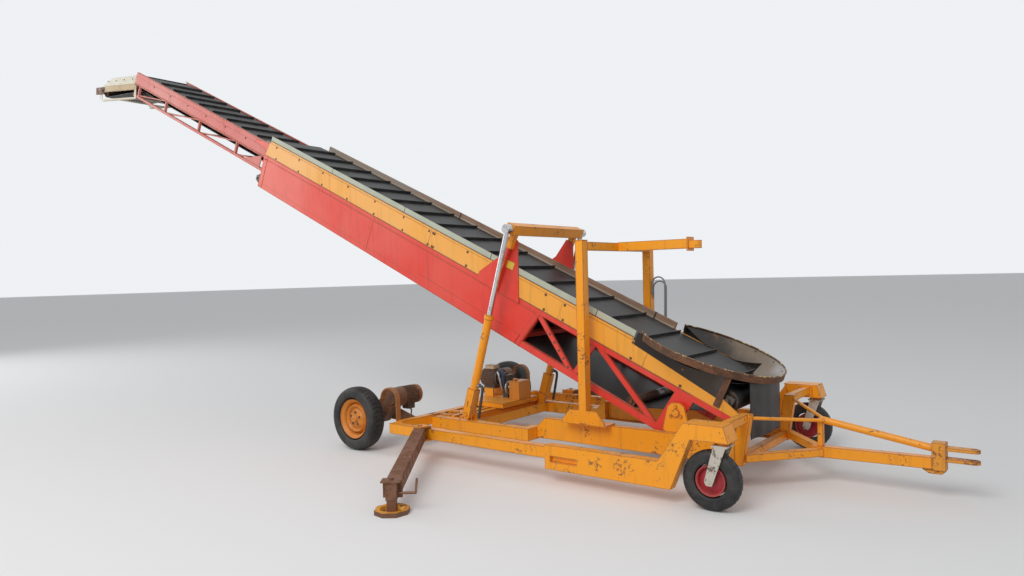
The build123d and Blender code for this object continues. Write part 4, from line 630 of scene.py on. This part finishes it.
# Rollers and slider bed: turned tube and rolled sheet, never painted, dark and oily where they run
# and rust-brown elsewhere. The same steel with remains of paint makes the pan, forks and outriggers.
tree, given = new_group("raw_steel", {
    "Steel": (0.16, 0.15, 0.14), "Rust": 0.5, "Gloss": 0.35, "Worn paint": 0.0,
    "Paint": (0.7, 0.6, 0.4)}, ("Colour", "Roughness", "Height", "Metal"))
place = object_place(tree)
broad = cloud(tree, place, 0.35)
patch = cloud(tree, place, 0.07, 6.0, 0.62)
speck = cloud(tree, place, 0.012, 4.0, 0.7)
mottle = plus(tree, times(tree, broad, 0.5), times(tree, patch, 0.5))
limit = less(tree, 0.72, times(tree, given["Rust"], 0.36))
rusty = step_up(tree, mottle, limit, plus(tree, limit, 0.1))
rust_shade = blend_colour(tree, step_up(tree, speck, 0.3, 0.7), (0.085, 0.038, 0.02),
                          (0.24, 0.105, 0.05))
colour = blend_colour(tree, rusty, given["Steel"], rust_shade)
flake = plus(tree, times(tree, patch, 0.6), times(tree, speck, 0.4))
keep = less(tree, 0.8, times(tree, given["Worn paint"], 0.55))
painted = step_up(tree, flake, keep, plus(tree, keep, 0.03))
bare = less(tree, 1.0, sums(tree, "MAXIMUM", rusty, painted), True)
raw_steel = give_out(
    tree, Colour=blend_colour(tree, painted, colour, given["Paint"]),
    Roughness=plus(tree, given["Gloss"], times(tree, rusty, 0.4), True),
    Height=plus(tree, times(tree, speck, 0.4), times(tree, painted, 0.4)), Metal=times(tree, bare, 0.8))


def steel(name, bare, rust, gloss, worn=0.0, remains=(0.7, 0.6, 0.4), bump=0.15):
    """Raw steel from its bare colour, how rusty and dull it is, and how much paint of which colour
    is left on it."""
    return finish_from(name, raw_steel, {
        "Steel": bare, "Rust": rust, "Gloss": gloss, "Worn paint": worn, "Paint": remains}, bump)


roller_steel = steel("roller_steel", (0.12, 0.115, 0.11), rust=0.75, gloss=0.35)
bed_steel = steel("bed_steel", (0.33, 0.33, 0.33), rust=0.45, gloss=0.3)
dress(roller_steel, "tail_drum", "extension_rollers", "end_roller", "head_drum")
dress(bed_steel, "slider_bed")

# Receiving pan: a shallow spun cone with a rolled rim, bolted over the boom's tail; the inside is dark round
# a spot in the dish and paler towards the rim, faces that look down or sideways are painted near black as
# painted shade, and cream paint and rust are left in patches on the rim.
PAN_DARK_TONE = (0.050, 0.045, 0.041)
pan_steel = steel("pan_steel", PAN_DARK_TONE, rust=0.42, gloss=0.34, worn=0.1, remains=(0.36, 0.27, 0.17))
rim_steel = steel("rim_steel", (0.11, 0.065, 0.042), rust=0.9, gloss=0.5, worn=0.3,
                  remains=(0.4, 0.23, 0.085))
bead_steel = steel("bead_steel", (0.17, 0.1, 0.06), rust=0.8, gloss=0.45, worn=0.52,
                   remains=(0.6, 0.47, 0.27))
dress(pan_steel, "hopper_pan")
dress(rim_steel, "hopper_brackets")
# dark round a spot in the dish, then brown, then pale by the rim; faces that look down or sideways are
# painted near black as painted shade
tree = pan_steel.node_tree
spot, dark_spot = object_place(tree), (3.86, 0.05, 1.04)
away = wire(tree, "ShaderNodeVectorMath", {0: spot, 1: dark_spot}, operation="DISTANCE").outputs["Value"]
away = plus(tree, away, times(tree, cloud(tree, spot, 0.22), 0.3))
dish_tone = blend_colour(tree, step_up(tree, away, 0.58, 0.82), PAN_DARK_TONE, (0.22, 0.165, 0.12))
dish_tone = blend_colour(tree, step_up(tree, away, 0.84, 1.0), dish_tone, (0.4, 0.37, 0.34))
# painted shade: the pan's underside and skirts go near black
upward = step_up(tree, coordinate(tree, facing(tree), 2), -0.05, 0.15)
feed(pan_steel, Steel=blend_colour(tree, upward, (0.028, 0.024, 0.022), dish_tone))
PAN_TURN = math.radians(19.5)
PAN_CENTRE = np.array([4.1214, 0.0, 0.983])
RIM_R, BEAD_R, BAND_R, BOLT_R, BAND_LOW, BOLT_LOW = 0.5975, 0.0055, 0.6006, 0.575, -0.0565, -0.0225


def on_pan(radius, turn, z):
    """Points from the pan's own frame, its rim plane at zero height, to the machine."""
    x, y, z = np.broadcast_arrays(radius * np.cos(turn), radius * np.sin(turn), z)
    cos, sin = math.cos(PAN_TURN), math.sin(PAN_TURN)
    return np.stack([x * cos + z * sin, y, z * cos - x * sin], axis=-1) + PAN_CENTRE


# rolled rim, left open over the boom: a round bead along the band's top edge, a worn skin over the
# band outside it, waved as a fine sine of the angle, and bolts up through the rim
turn = np.radians(np.linspace(-138.0, 138.0, 240))[:, None]
section = full_turn(12).T
bead = surface("pan_rim_bead", on_pan(RIM_R + BEAD_R * np.cos(section), turn,
                                      BEAD_R * np.sin(section) - 0.001), bead_steel, round_columns=True)
band = surface("pan_rim_band", on_pan(BAND_R + 0.0006 * np.sin(turn * 41.0), turn,
                                      np.linspace(BAND_LOW, -0.003, 6)[None, :]), rim_steel)
places = on_pan(BOLT_R, np.radians(np.arange(-120.0, 121.0, 24.0)), BOLT_LOW)
bolts = bolt_heads("pan_rim_bolts", places, on_pan(0.0, 0.0, 1.0) - PAN_CENTRE, roller_steel,
                   size=0.006, height=0.4)
fit("boom", "worn_steel", bead, band, bolts)

# Head: a pale hood folded from sheet, bolted to the extension's end, with black bearing plates and the drum
# between them; its paint is chalky, and the lip along its lower edge is the cream painted down to tan-brown
# as painted shade.
hood_paint = paint("hood_paint", (0.62, 0.56, 0.4), (0.74, 0.71, 0.6), fade=0.6, rust=0.55, dirt=0.6,
                   gloss=0.45)
# the lip's tan-brown is the hood's cream in painted shade
hood_lip_shade = paint("hood_lip_shade", (0.47, 0.33, 0.17), (0.62, 0.5, 0.32), fade=0.5, rust=0.85, dirt=0.9,
                  gloss=0.5)
dress(hood_paint, "head_hood")
HEAD_TURN, HEAD_U, HEAD_V = math.radians(17.0), 9.65, 0.495


def head_to_boom(along, down):
    """Distances along the head and down from its top edge, as distances up and off the boom."""
    cos, sin = math.cos(HEAD_TURN), math.sin(HEAD_TURN)
    return HEAD_U + along * cos - down * sin, HEAD_V - along * sin - down * cos


for mark, side in SIDES:
    u, v = head_to_boom(np.arange(0.12, 1.00, 0.27), 0.060)
    rivets = bolt_heads(f"hood_rivets_{mark}", on_boom(u, side * 0.3892, v), (0.0, side, 0.0), dark_nut,
                        size=0.009, height=0.35)
    lip = plate_on(f"hood_lip_{mark}", [head_to_boom(*corner) for corner in oblong(0.03, 0.135, 1.02, 0.222)],
                   side, 0.389, hood_lip_shade, thick=0.004)
    fit("extension", "head_cream", rivets, lip)


# Extension's beams: folded channel with its upper edge standing up past the belt and turned inwards,
# a low flange along its foot and bolts every half metre; it slides in guides at the boom's mouth.
def rolled_edge(name, section, side):
    """Section of (y, v) points carried straight along the beam and closed at both ends."""
    rings = np.stack([on_boom(u, side * section[:, 0], section[:, 1]) for u in (BEAM_START, BEAM_END)])
    return solid(name, rings, capped(2, len(section)), extension_paint, crease=25.0)


BEAM_START, BEAM_END, BEAM_FACE = 5.20, 9.635, 0.385
UPPER_EDGE = np.array([(0.3795, 0.470), (0.3875, 0.470), (0.3875, 0.5285), (0.3845, 0.5315),
                       (0.3500, 0.5315), (0.3500, 0.5285), (0.3795, 0.5285)])
LOW_FLANGE = np.array([(0.3845, 0.346), (0.3915, 0.346), (0.3915, 0.352), (0.3865, 0.358), (0.3845, 0.358)])
GUIDE = [(5.96, 0.415), (5.96, 0.545), (6.08, 0.545), (6.34, 0.505), (6.34, 0.480), (6.10, 0.462)]
for mark, side in SIDES:
    places = on_boom(np.arange(6.56, 9.2, 0.502), side * BEAM_FACE, 0.4515)
    fixings = bolt_heads(f"extension_bolts_{mark}", places, (0.0, side, 0.0), dark_nut, size=0.010,
                         height=0.45)
    edge = rolled_edge(f"beam_edge_{mark}", UPPER_EDGE, side)
    foot = rolled_edge(f"beam_flange_{mark}", LOW_FLANGE, side)
    fold = plate_on(f"beam_fold_{mark}", oblong(BEAM_START, 0.3605, 9.63, 0.371), side, BEAM_FACE,
                    extension_paint, thick=0.003)
    fit("extension", "faded_red", fixings, edge, foot, fold)
    guide = plate_on(f"slide_guide_{mark}", GUIDE, side, 0.3945, boom_paint, thick=0.005)
    fit("boom", "boom_red", guide)

# Bridge: yellow square tube across the boom on red brackets; a plain yellow plate is riveted on the
# near bracket, and each cylinder's chromed rod meets the tube's end in a forged eye.
sign_plate = paint("sign_plate", (0.83, 0.62, 0.02), (0.85, 0.7, 0.25), rust=0.1, dirt=0.35, gloss=0.3)
plate = plate_on("bracket_plate", oblong(1.925, 0.610, 2.045, 0.680), NEAR, 0.454, sign_plate,
                 thick=0.0015)
fit("boom", "frame_yellow", plate)
chrome = bpy.data.materials.new("rod_chrome")
chrome.use_nodes = True
tree = chrome.node_tree
shader = tree.nodes["Principled BSDF"]
shader.inputs["Metallic"].default_value = 1.0
smear = cloud(tree, object_place(tree), 0.05)
tone = blend_colour(tree, step_up(tree, smear, 0.55, 0.75), (0.62, 0.62, 0.63), (0.4, 0.37, 0.33))
tree.links.new(tone, shader.inputs["Base Color"])
tree.links.new(times(tree, smear, 0.35), shader.inputs["Roughness"])
dress(chrome, "lift_rod")

# Castors: forged fork legs on a swivel pin, whose white paint has mostly flaked to rust; the yellow
# socket that the pin turns in is welded to the chassis' arch.
fork_steel = steel("fork_steel", (0.2, 0.15, 0.12), rust=0.8, gloss=0.55, worn=0.66,
                   remains=(0.52, 0.47, 0.4), bump=0.4)
dress(fork_steel, "castor_fork")

# Outriggers: square tube arms that swing on pins, rusty brown with remains of yellow, each with a
# hand-cranked jack and a dished pad, whose inside has kept more of its yellow.
OLD_YELLOW = (0.40, 0.24, 0.12)
arm_steel = steel("arm_steel", (0.24, 0.125, 0.08), rust=0.8, gloss=0.6, worn=0.34, remains=OLD_YELLOW,
                  bump=0.4)
JACK_BROWN = (0.20, 0.105, 0.068)
jack_steel = steel("jack_steel", JACK_BROWN, rust=0.7, gloss=0.55, worn=0.34, remains=OLD_YELLOW, bump=0.4)
tree = jack_steel.node_tree
spot = object_place(tree)
upward = step_up(tree, coordinate(tree, facing(tree), 2), 0.3, 0.6)
dished = times(tree, upward, step_up(tree, coordinate(tree, spot, 2), 0.075, 0.06))
dished = times(tree, dished, step_up(tree, cloud(tree, spot, 0.06, 5.0, 0.65), 0.4, 0.47))
feed(jack_steel, Steel=blend_colour(tree, dished, JACK_BROWN, (0.8, 0.4, 0.05)),
     Rust=times(tree, less(tree, 1.0, dished), 0.7))
dress(arm_steel, "outrigger_arm")
dress(jack_steel, "jack_leg")

# Tow hitch: two forged tongues on a welded block with a skid under it, sprayed yellow with the
# drawbar; its paint is chipped through to rust by the tractors that it has been hung on.
hitch_paint = paint("hitch_paint", (0.8, 0.3, 0.01), (0.62, 0.28, 0.05), fade=0.5, rust=1.22, dirt=0.9)
dress(hitch_paint, "tow_hitch")


# Wheel drives: cast gear case, dark finned motor with a rusty end cover, terminal box and a flat
# stay bent over the case from the rail's end; the paint has burnt and flaked to rust-brown.
def finned(name, start, axis, skin, length, radius, depth, count, bevel=0.004, sunk=0.002):
    """Sleeve round an axis: its radius steps out to a fin and back, count times round, and slopes
    down to a slightly sunk ring at each end."""
    axis = np.asarray(axis, float)
    side = np.cross(axis, (0.0, 0.0, 1.0))
    lift = np.cross(side, axis)
    turn = full_turn(count * 4)
    tooth = np.tile([1.0, 1.0, 0.0, 0.0], count)[:, None]
    along = np.array([0.0, 0.0, bevel, length - bevel, length, length])[None, :]
    high = np.array([0.0, 0.6, 1.0, 1.0, 0.6, 0.0])[None, :]
    reach = radius - sunk * (high == 0.0) + depth * tooth * high
    points = (reach * np.cos(turn))[..., None] * side + (reach * np.sin(turn))[..., None] * lift
    points = points + along[..., None] * axis + np.asarray(start)
    return surface(name, points, skin, round_rows=True, crease=20.0)


def pipe(name, corners, skin, radius, sides=12):
    """Round tube along a curve that touches the middle of each run between the corners and turns
    from one to the next as a parabola."""
    corners = np.asarray(corners, float)
    middles = (corners[1:-2] + corners[2:-1]) / 2.0
    starts, ends = np.vstack([corners[:1], middles]), np.vstack([middles, corners[-1:]])
    t = np.linspace(0.0, 1.0, 12)[None, :-1, None]
    path = ((1 - t) ** 2 * starts[:, None] + 2 * t * (1 - t) * corners[1:-1][:, None]
            + t * t * ends[:, None])
    path = np.vstack([path.reshape(-1, 3), corners[-1:]])
    ahead = np.gradient(path, axis=0)
    ahead /= np.linalg.norm(ahead, axis=1, keepdims=True)
    bend_axis = np.linalg.svd(path - path.mean(axis=0))[2][2]
    side = bend_axis - ahead * (ahead @ bend_axis)[:, None]
    side /= np.linalg.norm(side, axis=1, keepdims=True)
    other = np.cross(ahead, side)
    turn = full_turn(sides)
    rings = path[:, None] + radius * (np.cos(turn) * side[:, None] + np.sin(turn) * other[:, None])
    return solid(name, rings, capped(len(path), sides), skin, crease=40.0)


# distance from the middle plane where each colour of the drive starts: end cover, motor, case, flange
DRIVE_TONES = [(0.0, (0.30, 0.10, 0.030)), (0.600, (0.020, 0.018, 0.018)),
               (0.777, (0.13, 0.047, 0.022)), (0.980, (0.34, 0.13, 0.028))]
tone = DRIVE_TONES[0][1]
drive_paint = paint("drive_paint", tone, DUST, fade=0.35, rust=0.95, dirt=0.7, gloss=0.42, bump=0.35)
tree = drive_paint.node_tree
off_middle = sums(tree, "ABSOLUTE", coordinate(tree, object_place(tree), 1))
for distance, colour in DRIVE_TONES[1:]:
    tone = blend_colour(tree, sums(tree, "GREATER_THAN", off_middle, distance), tone, colour)
feed(drive_paint, Paint=tone, Faded=blend_colour(tree, 0.25, tone, DUST))
dress(drive_paint, "drive_unit")
motor_dark = paint("motor_dark", (0.022, 0.022, 0.024), (0.08, 0.07, 0.06), fade=0.35, rust=0.6, dirt=0.6,
                   gloss=0.35)
SHAFT_X, SHAFT_Z, MOTOR_START, CASE_FACE = 1.2694, 0.465, 0.625, 0.905
MOTOR_LEAD = np.array([(1.300, 0.700, 0.352), (1.345, 0.720, 0.330), (1.440, 0.800, 0.360),
                       (1.478, 0.850, 0.300), (1.4843, 0.870, 0.2905)])
for mark, side in SIDES:
    out = (0.0, side, 0.0)
    fins = finned(f"drive_fins_{mark}", (SHAFT_X, side * MOTOR_START, SHAFT_Z), out, motor_dark,
                  length=0.140, radius=0.0845, depth=0.008, count=30)
    places = on_circle((SHAFT_X, side * CASE_FACE, SHAFT_Z), 0.076, np.arange(8) * 0.785 + 0.2)
    bolts = bolt_heads(f"gear_case_bolts_{mark}", places, out, dark_nut, size=0.0075, height=0.7)
    lead = pipe(f"motor_lead_{mark}", MOTOR_LEAD * (1.0, side, 1.0), motor_dark, radius=0.007)
    fit("chassis", "gearbox_rust", fins, bolts, lead)

# Feed pipes: bent black steel pipe that runs down beside each lift cylinder from its port, where a
# grey hexagonal union screws it on.
union_steel = steel("union_steel", (0.3, 0.31, 0.33), rust=0.4, gloss=0.4, worn=0.2,
                    remains=(0.3, 0.33, 0.38))
# distance from the middle plane, and (x, z) corners of each
PIPE_Y = 0.600
FEED_PIPE = [(2.095, 0.600), (2.150, 0.604), (2.168, 0.575), (2.140, 0.450), (2.108, 0.300)]
UNION = [(2.100, 0.6005), (2.112, 0.6015), (2.124, 0.6025), (2.136, 0.6035)]
for mark, side in SIDES:
    down, joined = ([(x, side * PIPE_Y, z) for x, z in corners] for corners in (FEED_PIPE, UNION))
    feed_pipe = pipe(f"feed_pipe_{mark}", down, motor_dark, radius=0.013)
    union = pipe(f"feed_union_{mark}", joined, union_steel, radius=0.019, sides=6)
    fit(f"lift_barrel_{mark}", "worn_steel", feed_pipe, union)


# Power pack: dark electric motor with cooling fins and a terminal box whose pale tan is a painted highlight
# of sun on the motor's top, pump with a round silver cover, blue and grey hoses over the valve block, and a
# small orange oil tank on a folded tray.
def rounded_block(name, low, high, skin, corner):
    """Box whose upright edges are quarter circles and whose top and bottom edges are cut at 45 degrees."""
    low, high = np.asarray(low, float), np.asarray(high, float)
    half = (high - low) / 2.0
    turn = np.radians(np.concatenate([np.arange(0, 91, 22.5) + k * 90.0 for k in range(4)]))
    quadrant = np.repeat(np.array([[1, 1], [-1, 1], [-1, -1], [1, -1]]), 5, axis=0)
    arcs = np.stack([np.cos(turn), np.sin(turn)], axis=-1)
    cut, top = corner * 0.4, half[2]
    rings = [np.column_stack([quadrant * (half[:2] - corner) + (corner - inset) * arcs, np.full(20, height)])
             for height, inset in ((-top, cut), (-top + cut, 0.0), (top - cut, 0.0), (top, cut))]
    return solid(name, np.stack(rings) + (low + high) / 2.0, capped(4, 20), skin, crease=30.0)


tank_orange = paint("tank_orange", (0.66, 0.2, 0.012), (0.72, 0.3, 0.04), rust=0.5, dirt=0.5, gloss=0.3)
silver_cast = steel("silver_cast", (0.5, 0.5, 0.5), rust=0.3, gloss=0.35, worn=0.45,
                    remains=(0.6, 0.6, 0.58))
blue_hose = rubber("blue_hose", (0.025, 0.055, 0.12), dust=0.3, gloss=0.35)
# pale tan on the terminal box: painted highlight of sun on top of the motor
box_tan_highlight = paint("box_tan_highlight", (0.52, 0.36, 0.2), (0.62, 0.48, 0.32), fade=0.5, rust=0.8, dirt=0.5, gloss=0.45)
dress(motor_dark, "power_unit")
dress(tank_orange, "oil_tank")
fins = finned("pack_motor_fins", (1.462, 0.300, 0.535), (1.0, 0.0, 0.0), motor_dark, length=0.160,
              radius=0.0925, depth=0.009, count=32)
terminal = rounded_block("terminal_box", (1.490, 0.235, 0.625), (1.610, 0.335, 0.668), box_tan_highlight,
                         corner=0.010)
# the pump's cover is turned about a level axis: radius and distance out from its seat
PUMP_FACE, PUMP_Y, PUMP_Z = 1.7846, 0.262, 0.448
radius, out = np.array([(0.066, 0.0), (0.070, 0.003), (0.070, 0.014), (0.064, 0.019), (0.050, 0.020),
                        (0.047, 0.016), (0.030, 0.016), (0.027, 0.024), (0.003, 0.026)]).T
turn = full_turn(36)
spun = np.broadcast_arrays(PUMP_FACE + out, PUMP_Y + radius * np.cos(turn), PUMP_Z + radius * np.sin(turn))
cover = surface("pump_cover", np.stack(spun, axis=-1), silver_cast, round_rows=True)
places = on_circle((PUMP_FACE + 0.0196, PUMP_Y, PUMP_Z), 0.057, np.arange(6) * 1.0472, (0.0, 1.0, 0.0))
cover_bolts = bolt_heads("pump_cover_bolts", places, (1.0, 0.0, 0.0), dark_nut, size=0.006, height=0.6)
blue = pipe("pack_hose_blue", [(1.690, 0.245, 0.560), (1.692, 0.225, 0.625), (1.730, 0.215, 0.640),
                               (1.760, 0.210, 0.560), (1.752, 0.222, 0.470), (1.752, 0.244, 0.455)],
            blue_hose, radius=0.013)
grey = pipe("pack_hose_grey", [(1.672, 0.247, 0.545), (1.672, 0.215, 0.610), (1.700, 0.200, 0.600),
                               (1.722, 0.205, 0.500), (1.728, 0.222, 0.425), (1.728, 0.2445, 0.412)],
            silver_cast, radius=0.010)
fit("chassis", "motor_dark", fins, terminal, cover, cover_bolts, blue, grey)

# Hoses at the far post: two light grey hydraulic hoses clamped to the post, bent over and led down
# to its foot.
hose_cover = rubber("hose_cover", (0.25, 0.26, 0.28), dust=0.5, gloss=0.45)
POST_FACE, HOSE_R, CORNER = 3.2922, 0.007, 0.0387
# name, distance from the middle plane, height of the bend's top, length
for name, y, top, length in (("hose_long", 0.568, 1.560, 1.42), ("hose_short", 0.594, 1.520, 1.38)):
    rise, fall, low = POST_FACE + HOSE_R, POST_FACE + 0.139, top - CORNER
    route = [(rise, top - 0.160), (rise, low - 0.055), (rise, low), (rise + CORNER, top),
             (fall - CORNER, top), (fall, low), (fall - 0.001, low - 0.055), (fall - 0.008, top - 0.420),
             (POST_FACE + 0.110, 0.3723)]
    curve = bpy.data.curves.new(f"{name}_cover", "CURVE")
    curve.dimensions = "3D"
    curve.bevel_depth = HOSE_R
    curve.bevel_resolution = 6
    curve.use_fill_caps = True
    run = curve.splines.new("NURBS")
    run.points.add(len(route) - 1)
    run.points.foreach_set("co", [value for x, z in route for value in (x, y, z, 1.0)])
    run.order_u = 3
    run.use_endpoint_u = True
    run.resolution_u = 16
    curve.materials.append(hose_cover)
    hose = bpy.data.objects.new(f"{name}_cover", curve)
    bpy.context.scene.collection.objects.link(hose)
    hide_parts(name)
    fit("chassis", "hose_grey", hose)

# Studio: a wide pale floor, an even sky that shows as a pale backdrop, also in reflections, and two
# large soft lamps; the picture is shown without a film curve.
bpy.context.scene.view_settings.view_transform = "Standard"
floor_paint = bpy.data.materials.new("floor_paint")
floor_paint.use_nodes = True
shader = floor_paint.node_tree.nodes["Principled BSDF"]
shader.inputs["Base Color"].default_value = (0.80, 0.795, 0.785, 1.0)
shader.inputs["Roughness"].default_value = 0.85
reach = np.array([-150.0, 150.0])
corners = np.broadcast_arrays(reach[:, None], reach[None, :], 0.0)
floor = surface("floor", np.stack(corners, axis=-1), floor_paint)
studio = bpy.data.worlds.new("studio")
studio.use_nodes = True
bpy.context.scene.world = studio
tree = studio.node_tree
ray = wire(tree, "ShaderNodeLightPath").outputs
seen = plus(tree, ray["Is Camera Ray"], ray["Is Glossy Ray"])
seen = plus(tree, seen, ray["Is Transmission Ray"], True)
sky = tree.nodes["Background"]
sky.inputs["Color"].default_value = (0.93, 0.96, 1.0, 1.0)
sky.inputs["Strength"].default_value = 0.50
shown = wire(tree, "ShaderNodeBackground", {"Color": (0.86, 0.88, 0.90, 1.0), "Strength": 1.0})
mixed = wire(tree, "ShaderNodeMixShader", {0: seen, 1: sky.outputs[0], 2: shown.outputs[0]})
tree.links.new(mixed.outputs[0], tree.nodes["World Output"].inputs["Surface"])
# lamp, place, size in metres, power in watts
for label, spot, size, power in (("key", (4.0, -11.0, 10.0), 7.0, 950.0),
                                 ("fill", (-12.0, -4.0, 6.0), 8.0, 380.0)):
    light = bpy.data.lights.new(label, "AREA")
    light.shape = "SQUARE"
    light.size = size
    light.energy = power
    lamp = bpy.data.objects.new(label, light)
    lamp.location = spot
    aim = mathutils.Vector((0.0, 0.0, 1.5)) - mathutils.Vector(spot)
    lamp.rotation_euler = aim.to_track_quat("-Z", "Y").to_euler()
    bpy.context.scene.collection.objects.link(lamp)
